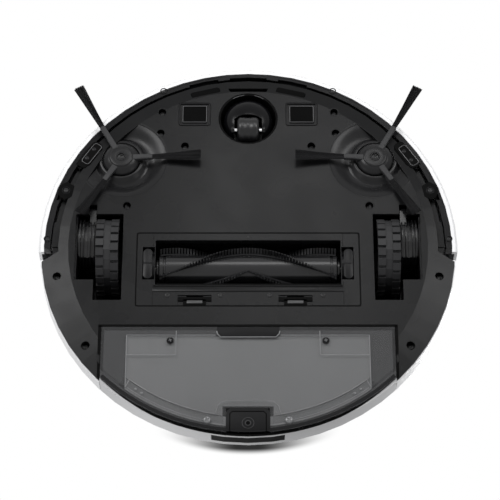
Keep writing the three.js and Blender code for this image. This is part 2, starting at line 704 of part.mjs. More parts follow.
function casterWheel() {
  const half = caster.wheelWidth / 2;
  const r = caster.wheelRadius;
  const bore = casterAxle.radius + 0.2;
  return revolveX(loop([
    [bore, -half], [r - 3.4, -half], [r - 1, -half + 1.2], [r, -half + 3.6], [r, half - 3.6],
    [r - 1, half - 1.2], [r - 3.4, half], [bore, half],
  ]), casterAxle.y, r, 20);
}

place('caster_cup', casterCupShape(), black);
place('caster_fork', casterFork(), glossBlack);
place('caster_wheel', casterWheel(), black);
place('caster_axle', rodX(casterAxle.radius, -13.4, 13.4, casterAxle.y, caster.wheelRadius, 12), steel);

// ---------------------------------------------------------------- side brushes

const brushMotor = { radius: 13, top: 38 };
const armHeight = 5.6;
const armAngles = [0, 1, 2].map((i) => (i * 2 * Math.PI) / 3);

// Arm directions: one points to the robot's centre line, the others are 120 degrees apart.
const armAngle = (side, i) => (side > 0 ? Math.PI : 0) + armAngles[i];

// A flat tapering bar that runs out from the hub and may droop towards its tip.
function armBar(side, i, { from, to, w0, w1, z0, z1, t0, t1 }) {
  const geometry = new THREE.BoxGeometry(1, 1, 1);
  const place3 = geometry.attributes.position;
  for (let k = 0; k < place3.count; k += 1) {
    const out = place3.getX(k) > 0;
    const width = out ? w1 : w0;
    const thick = out ? t1 : t0;
    place3.setXYZ(k, out ? to : from, place3.getY(k) * width, (out ? z1 : z0) + place3.getZ(k) * thick);
  }
  geometry.rotateZ(armAngle(side, i));
  geometry.translate(side * brush.x, brush.y, 0);
  return solid(geometry);
}

function brushHub(side) {
  const neckTop = floorTop + scallop.depth + seat;
  const hub = revolve([
    [0, 3.4], [brush.disc - 1, 3.4], [brush.disc, 4.2], [brush.disc + 1, 5.4], [brush.ring, 8],
    [brush.ring, 10], [brush.ring - 2, 11.6], [5.6, 11.6], [5.6, neckTop], [0, neckTop],
  ], 20, side * brush.x, brush.y);
  const sleeves = armAngles.map((_, i) => armBar(side, i,
    { from: brush.disc - 2, to: brush.sleeve, w0: 6.4, w1: 4.6, z0: 7.2, z1: armHeight, t0: 4.6, t1: 3.4 }));
  return join(hub, ...sleeves);
}

for (const [name, side] of sides) {
  place(`side_brush_hub_${name}`, brushHub(side), black);
  armAngles.forEach((_, i) => {
    place(`side_brush_bristles_${name}_${i + 1}`, armBar(side, i, {
      from: brush.sleeve + seat, to: brush.reach,
      w0: 3.6, w1: 9, z0: armHeight, z1: brush.tipZ + 0.4, t0: 2, t1: 0.8,
    }), greyBristle);
  });
  const motorBase = floorTop + scallop.depth + 2 * seat;
  place(`side_brush_motor_${name}`,
    disc(brushMotor.radius, motorBase, brushMotor.top, side * brush.x, brush.y, 24), black);
}

// ---------------------------------------------------------------- main brush

const bearing = { inner: roller.halfLength + 3.6, outer: cover.halfX - 5, radius: 14.6 };
const shaft = { radius: 4, end: bearing.outer - 1.5 };

// A strip that stands on the drum and winds the same way from the middle to both ends.
function rollerStrip(phase, r0, r1, thickness) {
  const stations = 16;
  const half = roller.halfLength - 1;
  const points = [];
  const faces = [];
  for (let i = 0; i <= stations; i += 1) {
    const x = -half + (2 * half * i) / stations;
    const angle = phase + (roller.twist * Math.abs(x)) / half;
    for (const [radius, offset] of [[r0, -1], [r1, -1], [r1, 1], [r0, 1]]) {
      const along = (offset * thickness) / 2;
      const y = radius * Math.cos(angle) - along * Math.sin(angle);
      const z = radius * Math.sin(angle) + along * Math.cos(angle);
      points.push(x, roller.y + y, roller.z + z);
    }
    if (i === 0) continue;
    const b = 4 * i;
    for (let k = 0; k < 4; k += 1) {
      const n = (k + 1) % 4;
      faces.push(b - 4 + k, b + k, b + n, b - 4 + k, b + n, b - 4 + n);
    }
  }
  const last = 4 * stations;
  faces.push(0, 1, 2, 0, 2, 3, last, last + 2, last + 1, last, last + 3, last + 2);
  const geometry = new THREE.BufferGeometry();
  geometry.setAttribute('position', new THREE.Float32BufferAttribute(points, 3));
  geometry.setIndex(faces);
  return solid(geometry);
}

function rollerCore() {
  const { halfLength: h, drum } = roller;
  const collar = h + 2.4;
  return revolveX([
    [0, -shaft.end], [shaft.radius, -shaft.end], [shaft.radius, -collar], [9, -collar], [9, -h], [drum, -h],
    [drum, h], [9, h], [9, collar], [shaft.radius, collar], [shaft.radius, shaft.end], [0, shaft.end],
  ], roller.y, roller.z, 20);
}

place('main_brush_core', rollerCore(), glossBlack);
for (let i = 0; i < roller.strips; i += 1) {
  const phase = roller.apex + (2 * Math.PI * i) / roller.strips;
  place(`main_brush_bristles_${i + 1}`, rollerStrip(phase, roller.drum + seat, roller.tip, 2.4), greyBristle);
}

for (const [name, side] of sides) {
  const [x0, x1] = span(side, bearing.inner, bearing.outer);
  const body = join(
    rodX(bearing.radius, x0, x1, roller.y, roller.z, 28),
    box(x0, x1, roller.y - bearing.radius, roller.y + bearing.radius, roller.z - 8, roller.z),
  );
  const bore = rodX(shaft.radius + seat, x0 - 1, x1 + 1, roller.y, roller.z, 16);
  place(`brush_bearing_${name}`, cut(body, bore), black);
}

// ---------------------------------------------------------------- main brush cover

const coverTop = groundClearance + cover.wall;

function brushCover() {
  const { halfX, frontY, rearY } = cover;
  const plate = roundedBox(-halfX, halfX, frontY, rearY, groundClearance, coverTop, 1.4);
  const opening = box(-mouth.halfX, mouth.halfX, mouth.frontY, mouth.rearY, 0, coverTop + 9);
  const bearingY = bearing.radius + panelGap;
  const bearingX = bearing.outer + panelGap;
  const bearingCuts = box(-bearingX, bearingX, roller.y - bearingY, roller.y + bearingY, 0, coverTop + 9);
  const lipX = mouth.halfX + 1.8;
  const lip = box(-lipX, lipX, mouth.frontY - 1.4, mouth.rearY + 1.4, coverTop - 1, coverTop + 2.8);
  const notches = latchCentres.map((x) => roundedBox(
    x - latch.notchWidth / 2, x + latch.notchWidth / 2, rearY - latch.notchDepth, rearY + 1,
    groundClearance - 1, groundClearance + 0.9, 1,
  ));
  const tracks = latchCentres.map((x) => box(
    x - latch.width / 2 - seat, x + latch.width / 2 + seat,
    rearY - latch.depth - latch.travel, rearY + 1, groundClearance, coverTop + 1,
  ));
  return cut(join(plate, lip), opening, bearingCuts, ...notches, ...tracks);
}

place('brush_cover', brushCover(), charcoal);
latchCentres.forEach((x, i) => {
  place(`brush_cover_latch_${i + 1}`, roundedBox(
    x - latch.width / 2, x + latch.width / 2, cover.rearY - latch.depth, cover.rearY + 0.2,
    groundClearance + 0.5, coverTop, 1,
  ), black);
});

// ---------------------------------------------------------------- contacts and sensors

for (const [name, side] of sides) {
  place(`charging_contact_${name}`, join(
    contactBlock(side, 0, groundClearance + 0.3, floorTop + 1.6, 1),
    contactBlock(side, 2, floorTop + seat, floorTop + 1.6, 1),
  ), glossBlack);
  place(`cliff_sensor_side_${name}`,
    turnedBar(mirrored(side, sideSensor), groundClearance + 1.2, floorTop + 4), glossBlack);
  place(`cliff_sensor_front_${name}`,
    turnedBar(mirrored(side, frontSensor), groundClearance + 0.6, floorTop + 4), glossBlack);
}

// ---------------------------------------------------------------- tank

const rimRing = (radius, z0, z1) => disc(radius, z0, z1, 0, 0, ringSegments);
const tankBottom = groundClearance + seat;
const tankSlab = (halfX, frontY, radius, z0, z1) =>
  common(box(-halfX, halfX, frontY, far, z0, z1), rimRing(radius, z0 - 1, z1 + 1));
const tankInner = wallRadius(tank.top, shellWall + 1.2);

function tankShell() {
  const wallTop = tank.top;
  const { halfX, frontY, wall, radius } = tank;
  const latchX = tankLatch.halfX;
  const latchTop = tankBottom + tankLatch.rise;
  const base = tankSlab(halfX, frontY, radius, tankBottom, tankBottom + wall);
  const walls = tankSlab(halfX, frontY, tankInner, tankBottom, wallTop);
  const hollow = tankSlab(halfX - wall, frontY + wall, tankInner - wall, tankBottom + wall, wallTop + 1);
  const raiseY = tankLatch.frontY - wall;
  const latchRaise = box(-latchX - wall, latchX + wall, raiseY, tankInner - 1, tankBottom, latchTop + wall);
  const latchRecess = box(-latchX, latchX, tankLatch.frontY, far, 0, latchTop);
  const boss = disc(tankLatch.bossRadius, tankBottom + 0.6, latchTop + 1, 0, tankLatch.bossY, 20);
  const grip = box(-25.2, 25.2, frontY + 1.4, frontY + 10.8, 0, tankBottom + 0.9);
  const ductMouth = box(-duct.halfX, duct.halfX, frontY - 1, frontY + wall + 1, duct.bottom, tank.top - 1.2);
  const tub = cut(join(base, walls), hollow);
  return cut(join(cut(join(tub, latchRaise), latchRecess), boss), grip, ductMouth);
}

place('tank_shell', tankShell(), smoked);
const lidBottom = tank.top + seat;
place('tank_lid', tankSlab(tank.halfX, tank.frontY, tankInner, lidBottom, lidBottom + tank.lid), charcoal);

function tankPanel() {
  const z0 = tankBottom + tank.wall + seat;
  const band = common(
    wallBand(0, shellWall, z0, tankSeam - seat),
    box(-bayHalfX + seat, bayHalfX - seat, 0, far, 0, far),
  );
  const { halfWidth, bottom, height } = releaseButton;
  return cut(band, box(-halfWidth, halfWidth, 0, far, bottom, bottom + height));
}

place('tank_rear_panel', tankPanel(), whitePlastic);

function tankButton() {
  const { halfWidth, bottom, height, travel } = releaseButton;
  const z0 = bottom + seat;
  const z1 = bottom + height - seat;
  const halfFace = halfWidth - seat;
  const face = common(wallBand(0.2, shellWall + 0.1, z0, z1), box(-halfFace, halfFace, 0, far, 0, far));
  const stemEnd = bodyRadius - 1;
  const stop = tankInner + travel + seat;
  return join(face, box(-8, 8, stop, stemEnd, z0 + 2, z1 - 2));
}

place('tank_release_button', tankButton(), black);

function tankTray() {
  const z0 = tankBottom + tank.wall + seat;
  const plate = tankSlab(tray.halfX, tray.frontY, tray.radius, z0, z0 + 16);
  const inside = tankSlab(tray.halfX - 2, tray.frontY + 2, tray.radius - 2, z0 + 1.6, z0 + 17);
  const { halfX, frontY, rise } = tankLatch;
  const room = tank.wall + 1;
  const clear = box(-halfX - room, halfX + room, frontY - room, far, 0, tankBottom + rise + room);
  return cut(plate, inside, clear);
}

place('tank_tray', tankTray(), palePlastic);
const filterBottom = tankBottom + tank.wall + seat + 1.6 + seat;
const filterHalfX = duct.halfX + 17;
const filterShape = roundedBox(-filterHalfX, filterHalfX, tray.frontY + 4, tray.frontY + 28,
  filterBottom, tank.top - seat, 2);
place('dust_filter', filterShape, palePlastic);

// ---------------------------------------------------------------- inside the body

function suctionDuct() {
  const { halfX, bottom, top, wall } = duct;
  const y0 = cover.rearY + 3 + seat;
  const y1 = bayFrontY - bayWall - seat;
  const outer = box(-halfX - wall, halfX + wall, y0, y1, bottom - wall, top + wall);
  return cut(outer, box(-halfX, halfX, y0 - 1, y1 + 1, bottom, top));
}

const fan = { x: share(0.2997), y: share(0.5994), radius: share(0.1844), top: 68 };
const boardThickness = 1.6;

place('suction_duct', suctionDuct(), black);
place('battery_pack', roundedBox(-battery.halfX, battery.halfX, battery.frontY, battery.rearY,
  floorTop + seat, battery.top - seat, 4), black);
place('main_board', box(-postX - 4, postX + 4, battery.frontY - 4, battery.rearY + 4, battery.top + seat,
  battery.top + seat + boardThickness), circuitGreen);
place('suction_fan', revolve([
  [0, bayRoof + floorWall + seat], [fan.radius, bayRoof + floorWall + seat], [fan.radius, fan.top - 6],
  [fan.radius - 6, fan.top], [0, fan.top],
], 32, fan.x, fan.y), black);

export default robot;
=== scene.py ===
import json
from math import acos, copysign, cos, degrees, hypot, pi, radians, sin, sqrt
import random

import bmesh
import bpy
from mathutils import Matrix, Vector


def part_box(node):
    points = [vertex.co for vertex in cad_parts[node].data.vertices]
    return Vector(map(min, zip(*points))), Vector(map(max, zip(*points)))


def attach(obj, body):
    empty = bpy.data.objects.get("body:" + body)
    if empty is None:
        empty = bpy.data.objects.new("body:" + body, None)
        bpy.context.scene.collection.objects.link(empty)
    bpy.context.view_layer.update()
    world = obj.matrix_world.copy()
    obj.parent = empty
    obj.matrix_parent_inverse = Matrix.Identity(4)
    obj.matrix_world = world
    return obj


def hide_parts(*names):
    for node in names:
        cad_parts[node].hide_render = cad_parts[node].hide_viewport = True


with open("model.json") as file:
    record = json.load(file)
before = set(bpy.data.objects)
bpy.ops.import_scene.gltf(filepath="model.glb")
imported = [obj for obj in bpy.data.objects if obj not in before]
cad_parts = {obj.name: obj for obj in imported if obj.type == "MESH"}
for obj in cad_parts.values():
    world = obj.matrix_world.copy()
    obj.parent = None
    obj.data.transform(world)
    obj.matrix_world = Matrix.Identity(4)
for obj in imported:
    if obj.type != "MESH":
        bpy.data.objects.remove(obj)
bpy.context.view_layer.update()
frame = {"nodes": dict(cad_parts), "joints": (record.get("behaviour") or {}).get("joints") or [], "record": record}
nodes = frame["nodes"]
MM = 0.001
SIDES = (("left", 1), ("right", -1))
SHARP = radians(32)  # a turn of the surface that stays a hard edge
CREASE = radians(22)  # the same on the white shells
SEGMENTS = 96
random.seed(7)

# ---- places taken from the frame


def span(node):
    """Lowest and highest corner of a CAD node, in millimetres."""
    low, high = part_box(node)
    return Vector(low) / MM, Vector(high) / MM


def middle(node):
    low, high = span(node)
    return (low + high) / 2


def pivot(joint):
    found = next(j for j in frame["joints"] if j["name"] == joint)
    return Vector(found["pos_m"]) / MM


FLOOR_Z = span("base_plate")[0].z
SHELL_RADIUS = span("tank_rear_panel")[1].y
CASTER = pivot("caster_swivel")
CASTER_AXLE = pivot("caster_roll")
ROLLER = pivot("main_brush_spin")
COVER_LOW, COVER_HIGH = span("brush_cover")
TANK_LOW, TANK_HIGH = span("tank_shell")
TRAY_LOW, TRAY_HIGH = span("tank_tray")
BRUSH = {side: pivot(f"side_brush_{label}_spin") for label, side in SIDES}

# ---- materials


def link(tree, source, output, target, field):
    tree.links.new(source.outputs[output], target.inputs[field])


def add(tree, kind, **values):
    node = tree.nodes.new(kind)
    for key, value in values.items():
        setattr(node, key, value)
    return node


def noise(tree, source, output, scale, detail):
    node = add(tree, "ShaderNodeTexNoise")
    node.inputs["Scale"].default_value = scale
    node.inputs["Detail"].default_value = detail
    link(tree, source, output, node, "Vector")
    return node


def remapped(tree, source, from_low, from_high, to_low, to_high, **values):
    """A value carried over from one range to another."""
    node = add(tree, "ShaderNodeMapRange", **values)
    node.inputs["From Min"].default_value = from_low
    node.inputs["From Max"].default_value = from_high
    node.inputs["To Min"].default_value = to_low
    node.inputs["To Max"].default_value = to_high
    tree.links.new(source, node.inputs["Value"])
    return node.outputs["Result"]


NOISE_LOW, NOISE_HIGH = 0.3, 0.7  # most values of a noise texture lie between these
GLOSS_SPREAD = (-0.05, 0.06)
BUMP_STRENGTH = 0.6


def finish(name, colour, roughness, specular=0.3, mottle=0.1, grain=1400, bump=0.05, edge=0.35,
           metallic=0.0, alpha=1.0, patch=30, stretch=None, strands=0.0):
    """A moulded or turned surface: patchy colour and gloss, a fine grain, and softly rounded edges.

    grain is how fine the texture is, bump its depth and edge the rounding in millimetres, stretch
    draws the grain out along an axis, and strands is how much separate strands differ in tone."""
    made = bpy.data.materials.new(name)
    made.use_nodes = True
    tree = made.node_tree
    shader = tree.nodes["Principled BSDF"]
    source, output = add(tree, "ShaderNodeTexCoord"), "Object"
    if stretch:
        drawn = add(tree, "ShaderNodeMapping")
        drawn.inputs["Scale"].default_value = stretch
        link(tree, source, "Object", drawn, "Vector")
        source, output = drawn, "Vector"
    large = noise(tree, source, output, patch, 4.0)
    fine = noise(tree, source, output, grain, 3.0)
    tone = add(tree, "ShaderNodeValToRGB")
    spread = mottle
    field = large.outputs["Fac"]
    if strands:
        island = add(tree, "ShaderNodeNewGeometry")
        spread = strands
        field = island.outputs["Random Per Island"]
    darker, lighter = tone.color_ramp.elements
    darker.position = 0.0 if strands else NOISE_LOW
    lighter.position = 1.0 if strands else NOISE_HIGH
    darker.color = (*[c * (1 - spread) for c in colour], 1)
    lighter.color = (*[min(c * (1 + spread), 1) for c in colour], 1)
    tree.links.new(field, tone.inputs["Fac"])
    link(tree, tone, "Color", shader, "Base Color")
    gloss = remapped(tree, large.outputs["Fac"], NOISE_LOW, NOISE_HIGH,
                     roughness + GLOSS_SPREAD[0], roughness + GLOSS_SPREAD[1])
    tree.links.new(gloss, shader.inputs["Roughness"])
    rounded = add(tree, "ShaderNodeBevel", samples=4)
    rounded.inputs["Radius"].default_value = edge * MM
    relief = add(tree, "ShaderNodeBump")
    relief.inputs["Strength"].default_value = BUMP_STRENGTH
    relief.inputs["Distance"].default_value = bump * MM
    link(tree, fine, "Fac", relief, "Height")
    link(tree, rounded, "Normal", relief, "Normal")
    link(tree, relief, "Normal", shader, "Normal")
    shader.inputs["Metallic"].default_value = metallic
    shader.inputs["Specular IOR Level"].default_value = specular
    shader.inputs["Alpha"].default_value = alpha
    return made


MATERIALS = {
    "white_shell": finish("white_shell", (0.74, 0.74, 0.745), 0.33, 0.3, mottle=0.012, bump=0.015),
    "charcoal_plastic": finish("charcoal_plastic", (0.0068, 0.0069, 0.0072), 0.27, 0.085, mottle=0.07),
    "black_plastic": finish("black_plastic", (0.0045, 0.0045, 0.005), 0.28, 0.09, bump=0.04),
    "gloss_black": finish("gloss_black", (0.003, 0.003, 0.0035), 0.13, 0.2, bump=0.01),
    "rubber": finish("rubber", (0.023, 0.023, 0.024), 0.42, 0.14, grain=2200, bump=0.08),
    "bristle": finish("bristle", (0.0055, 0.0055, 0.006), 0.4, 0.13, strands=0.85, edge=0.05, bump=0.01),
    "pale_plastic": finish("pale_plastic", (0.3, 0.302, 0.306), 0.4, mottle=0.05, bump=0.02),
    "steel": finish("steel", (0.58, 0.58, 0.59), 0.24, 0.5, metallic=1.0, grain=2500, bump=0.02),
    "smoked_clear": finish("smoked_clear", (0.1, 0.101, 0.103), 0.34, 0.11, mottle=0.02, grain=400,
                           bump=0.0, alpha=0.3),
    "circuit": finish("circuit", (0.02, 0.09, 0.05), 0.35, mottle=0.3, patch=220),
}
SLEEVE = finish("soft_sleeve", (0.026, 0.026, 0.027), 0.45, 0.15, bump=0.03, stretch=(0.08, 1, 1))
SCREW = finish("dark_screw", (0.016, 0.016, 0.0165), 0.36, 0.2, grain=2500, bump=0.02, edge=0.1)
MATTE_BLACK = finish("matte_black", (0.0022, 0.0022, 0.0022), 0.6, 0.03, bump=0.03)
LENS_BLACK = finish("lens_black", (0.005, 0.005, 0.005), 0.5, 0.0, bump=0.01)
# painted highlight: a light grey for thin lines that stand in for light caught by rims and edges
PAINTED_HIGHLIGHT = finish("painted_highlight_line", (0.075, 0.075, 0.077), 0.3, 0.3, bump=0.005, edge=0.1)
CLEAR_RIB = finish("clear_rib", (0.19, 0.192, 0.196), 0.25, 0.35, mottle=0.06, bump=0.004, edge=0.1)
DOME = finish("caster_gloss", (0.0025, 0.0025, 0.003), 0.2, 0.1, bump=0.003)
WHEEL_GLOSS = finish("caster_wheel_gloss", (0.004, 0.004, 0.0045), 0.3, 0.3, bump=0.003)
INSIDE = finish("tank_inside", (0.02, 0.02, 0.021), 0.5, 0.1, mottle=0.03, bump=0.0)
INSIDE_PALE = finish("tank_inside_pale", (0.24, 0.241, 0.244), 0.5, 0.1, mottle=0.03, bump=0.0)
DARK_SATIN = finish("dark_satin", (0.008, 0.008, 0.0085), 0.32, 0.1, mottle=0.12, bump=0.01)
# painted light: the floor's charcoal plastic made lighter, for the light that the dishes and collars catch
DISH_PAINTED_LIGHT = finish("dish_painted_light", (0.009, 0.009, 0.0095), 0.26, 0.15, mottle=0.12, bump=0.02)
HUB_GREY = finish("hub_grey", (0.012, 0.012, 0.0125), 0.26, 0.12, mottle=0.08, bump=0.01)
# painted shade: the white shell's colour darkened to grey on the rear wall, for the shade that falls on it
REAR_WALL_PAINTED_SHADE = finish("rear_wall_painted_shade", (0.5, 0.5, 0.505), 0.33, 0.3, mottle=0.012, bump=0.015)
DRUM_GREY = finish("drum_grey", (0.0075, 0.0075, 0.008), 0.22, 0.3, mottle=0.2, bump=0.01,
                   stretch=(0.05, 1, 1))
PALE_TAB = finish("latch_tab", (0.045, 0.045, 0.046), 0.35, 0.2, bump=0.02)
POCKET = finish("smoked_pocket", (0.011, 0.011, 0.0115), 0.45, 0.05, bump=0.01)
GEAR_GLOSS = finish("gearbox_gloss", (0.006, 0.006, 0.0065), 0.2, 0.35, bump=0.01)
slot_of = {part["node"]: part["material_slot"] for part in frame["record"]["subparts"]}


def dress(obj, made):
    """Gives a mesh its material and smooth shading that stops at real edges."""
    obj.data.materials.clear()
    obj.data.materials.append(made)
    obj.data.shade_smooth()
    obj.data.set_sharp_from_angle(angle=SHARP)


for node_name, node in nodes.items():
    dress(node, MATERIALS[slot_of[node_name]])

# ---- making meshes, in millimetres


def between(first, second, count):
    """The faces between two rings of count points, whose first points have these numbers."""
    steps = [(i, (i + 1) % count) for i in range(count)]
    return [[first + i, first + k, second + k, second + i] for i, k in steps]


BLOCK_FACES = [(0, 1, 2, 3), (4, 5, 6, 7)] + between(0, 4, 4)


class Build:
    """Gathers closed shapes, in millimetres, that become one piece."""

    def __init__(self):
        self.points = []
        self.faces = []

    def take(self, points, faces, matrix=None):
        start = len(self.points)
        for point in points:
            self.points.append(matrix @ Vector(point) if matrix else Vector(point))
        self.faces.extend([start + i for i in face] for face in faces)
        return self

    def lathe(self, profile, at=(0, 0, 0), axis="Z", segments=SEGMENTS, matrix=None, loop=False):
        """Turns points (radius, height) round an axis; loop joins the last point to the first."""
        points, rings = [], []
        if loop:
            profile = profile + profile[:1]
        for radius, height in profile:
            ring = []
            for i in range(1 if radius < 1e-6 else segments):
                angle = 2 * pi * i / segments
                across, up = radius * cos(angle), radius * sin(angle)
                local = (across, up, height) if axis == "Z" else (height, across, up)
                ring.append(len(points))
                points.append(Vector(local) + Vector(at))
            rings.append(ring)
        faces = []
        for low, high in zip(rings, rings[1:]):
            for i in range(segments):
                k = (i + 1) % segments
                quad = [low[i % len(low)], low[k % len(low)], high[k % len(high)], high[i % len(high)]]
                face = list(dict.fromkeys(quad))
                if len(face) > 2:
                    faces.append(face)
        return self.take(points, faces, matrix)

    def prism(self, outline, low, high, matrix=None):
        """An upright prism of an outline in X and Y."""
        count = len(outline)
        points = [(x, y, z) for z in (low, high) for x, y in outline]
        faces = [list(range(count)), list(range(count, 2 * count))]
        return self.take(points, faces + between(0, count, count), matrix)

    def block(self, x0, x1, y0, y1, z0, z1):
        return self.prism([(x0, y0), (x1, y0), (x1, y1), (x0, y1)], z0, z1)

    def tube(self, path, radius, sides=8, closed=False):
        """A round bar along points; radius is a number or one for each point."""
        points, faces = [], []
        count = len(path)
        path = [Vector(p) for p in path]
        for i, here in enumerate(path):
            before = path[i - 1] if i or closed else here
            after = path[(i + 1) % count] if i + 1 < count or closed else here
            along = (after - before).normalized()
            steep = abs(along.z) > 0.9
            first = (along.orthogonal() if steep else along.cross((0, 0, 1))).normalized()
            second = along.cross(first)
            size = radius[i] if isinstance(radius, (list, tuple)) else radius
            for k in range(sides):
                angle = 2 * pi * k / sides
                points.append(here + size * (cos(angle) * first + sin(angle) * second))
        for i in range(count if closed else count - 1):
            faces += between(i * sides, (i + 1) % count * sides, sides)
        if not closed:
            faces.append(list(range(sides)))
            faces.append(list(range((count - 1) * sides, count * sides)))
        return self.take(points, faces)

    def arc_band(self, r0, r1, a0, a1, z0, z1, steps):
        """Part of an upright ring, between two angles in degrees."""
        return self.prism(arc(r1, a0, a1, steps) + arc(r0, a0, a1, steps)[::-1], z0, z1)

    def mesh(self, name):
        made = bpy.data.meshes.new(name)
        made.from_pydata([tuple(MM * p) for p in self.points], [], self.faces)
        work = bmesh.new()
        work.from_mesh(made)
        bmesh.ops.recalc_face_normals(work, faces=work.faces)
        work.to_mesh(made)
        work.free()
        return made


def evaluated(obj):
    """Applies an object's modifiers to its own mesh."""
    bpy.context.view_layer.update()
    final = bpy.data.meshes.new_from_object(obj.evaluated_get(bpy.context.evaluated_depsgraph_get()))
    obj.modifiers.clear()
    old = obj.data
    obj.data = final
    bpy.data.meshes.remove(old)


def new_object(name, data):
    obj = bpy.data.objects.new(name, data)
    bpy.context.scene.collection.objects.link(obj)
    return obj


def cut_out(obj, build):
    """Takes a Build away from an object."""
    tool = new_object("tool", build.mesh("tool"))
    cut = obj.modifiers.new("cut", "BOOLEAN")
    cut.operation = "DIFFERENCE"
    cut.solver = "EXACT"
    cut.object = tool
    evaluated(obj)
    bpy.data.objects.remove(tool)


def piece(name, build, body, slot, made=None, replaces=(), soften=0.0, minus=None):
    """Makes one piece. soften rounds its edges in millimetres, minus is a Build that is cut out."""
    obj = new_object(name, build.mesh(name))
    if minus:
        cut_out(obj, minus)
    if soften:
        bevel = obj.modifiers.new("soften", "BEVEL")
        bevel.width = soften * MM
        bevel.segments = 2
        bevel.limit_method = "ANGLE"
        bevel.angle_limit = radians(40)
        evaluated(obj)
    dress(obj, made or MATERIALS[slot])
    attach(obj, body)
    if replaces:
        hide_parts(*replaces)
    return obj


def charcoal(name, build, made=None, soften=0.0, minus=None):
    return piece(name, build, "chassis", "charcoal_plastic", made, soften=soften, minus=minus)


def matte(name, build, soften=0.0):
    """A matte black piece of the chassis, such as a joint gap or a pocket."""
    return piece(name, build, "chassis", "black_plastic", MATTE_BLACK, soften=soften)


def on_tank(name, build, made, soften=0.0):
    return piece(name, build, "tank", "smoked_clear", made, soften=soften)


def rounded(x0, x1, y0, y1, radius, steps=5):
    """The outline of a rectangle with round corners."""
    outline = []
    for cx, cy, start in ((x1, y0, -90), (x1, y1, 0), (x0, y1, 90), (x0, y0, 180)):
        mx = cx - radius if cx == x1 else cx + radius
        my = cy - radius if cy == y1 else cy + radius
        for i in range(steps + 1):
            angle = radians(start + 90 * i / steps)
            outline.append((mx + radius * cos(angle), my + radius * sin(angle)))
    return outline


def arc(radius, a0, a1, steps, centre=(0, 0)):
    """Points (x, y) on an arc, between two angles in degrees."""
    angles = [radians(a0 + (a1 - a0) * i / steps) for i in range(steps + 1)]
    return [(centre[0] + radius * cos(a), centre[1] + radius * sin(a)) for a in angles]


def raised(outline, z):
    return [Vector((x, y, z)) for x, y in outline]


def both_halves(outline):
    """Points (x, y), then their mirror images from the last point back to the first."""
    return outline + [(-x, y) for x, y in reversed(outline)]


def turned(at, angle):
    """A place, turned by an angle in degrees."""
    return Matrix.Translation(at) @ Matrix.Rotation(radians(angle), 4, "Z")


# ---- the white shells


def skin(name):
    """The node's own form with its corners joined, so that it shades smoothly."""
    mesh = nodes[name].data
    points, found, places = [], {}, []
    for vertex in mesh.vertices:
        key = tuple(round(value / MM, 3) for value in vertex.co)
        if key not in found:
            found[key] = len(points)
            points.append(vertex.co / MM)
        places.append(found[key])
    faces = [tuple(dict.fromkeys(places[i] for i in face.vertices)) for face in mesh.polygons]
    return Build().take(points, [face for face in faces if len(face) > 2])


for source, body, made in (("top_cover", "chassis", None), ("bumper_shell", "bumper", None),
                           ("tank_rear_panel", "tank", REAR_WALL_PAINTED_SHADE)):
    shell = piece(f"{source}_skin", skin(source), body, "white_shell", made, replaces=(source,))
    shell.data.set_sharp_from_angle(angle=CREASE)

# ---- screws


def screw_parts():
    """A pan-head screw of radius 1 that faces down, with a cross cut into it."""
    head = Build().lathe([(0, -0.42), (0.45, -0.40), (0.8, -0.26), (1, 0.02), (1, 0.5), (0, 0.5)],
                         segments=28)
    wide, thin, bottom = 0.62, 0.15, -0.12
    quarter = [(thin, -wide), (thin, -thin), (wide, -thin)]
    outline = []
    for turn in range(4):
        cosine, sine = cos(turn * pi / 2), sin(turn * pi / 2)
        outline += [(x * cosine - y * sine, x * sine + y * cosine) for x, y in quarter]
    obj = new_object("screw_head", head.mesh("screw_head"))
    cut_out(obj, Build().prism(outline, -1, bottom))
    points = [v.co / MM for v in obj.data.vertices]
    faces = [list(p.vertices) for p in obj.data.polygons]
    bpy.data.objects.remove(obj)
    return points, faces


SCREW_POINTS, SCREW_FACES = screw_parts()


def screws(name, places, body, radius=2.4, made=None):
    """A group of screws at (x, y, z), each turned its own way."""
    group = Build()
    for place in places:
        turn = Matrix.Rotation(random.uniform(0, pi), 4, "Z")
        group.take(SCREW_POINTS, SCREW_FACES, Matrix.Translation(place) @ turn @ Matrix.Scale(radius, 4))
    return piece(name, group, body, "steel", made or SCREW)


# ---- side brushes

HUB = {"face": 5.3, "skirt": 15.6, "top": 12.6}
ARM = {"start": 9.6, "tip_z": 1.5, "root_z": 6.0}
ARM_SIZES = {"inward": (26.6, 68.0), "front": (34.0, 77.2), "rear": (26.8, 66.2)}  # sleeve, tip
ARM_ORDER = {1: ("inward", "front", "rear"), -1: ("inward", "rear", "front")}


def hub(at):
    """The brush's hub: a flat face with a screw recess, and a glossy skirt round it."""
    face = HUB["face"]
    return Build().lathe([
        (0, face + 1.5), (3.5, face + 1.5), (3.9, face + 1.2), (4.0, face + 0.35), (4.4, face + 0.05),
        (5.2, face), (8.8, face - 0.05), (9.5, face + 0.15), (9.9, face + 0.5), (10.2, face + 0.9),
        (11.6, face + 1.4), (13.1, face + 2.3), (14.4, face + 3.5), (15.3, face + 4.8),
        (HUB["skirt"], face + 5.8), (HUB["skirt"], 11.6), (14, HUB["top"]), (0, HUB["top"]),
    ], at)


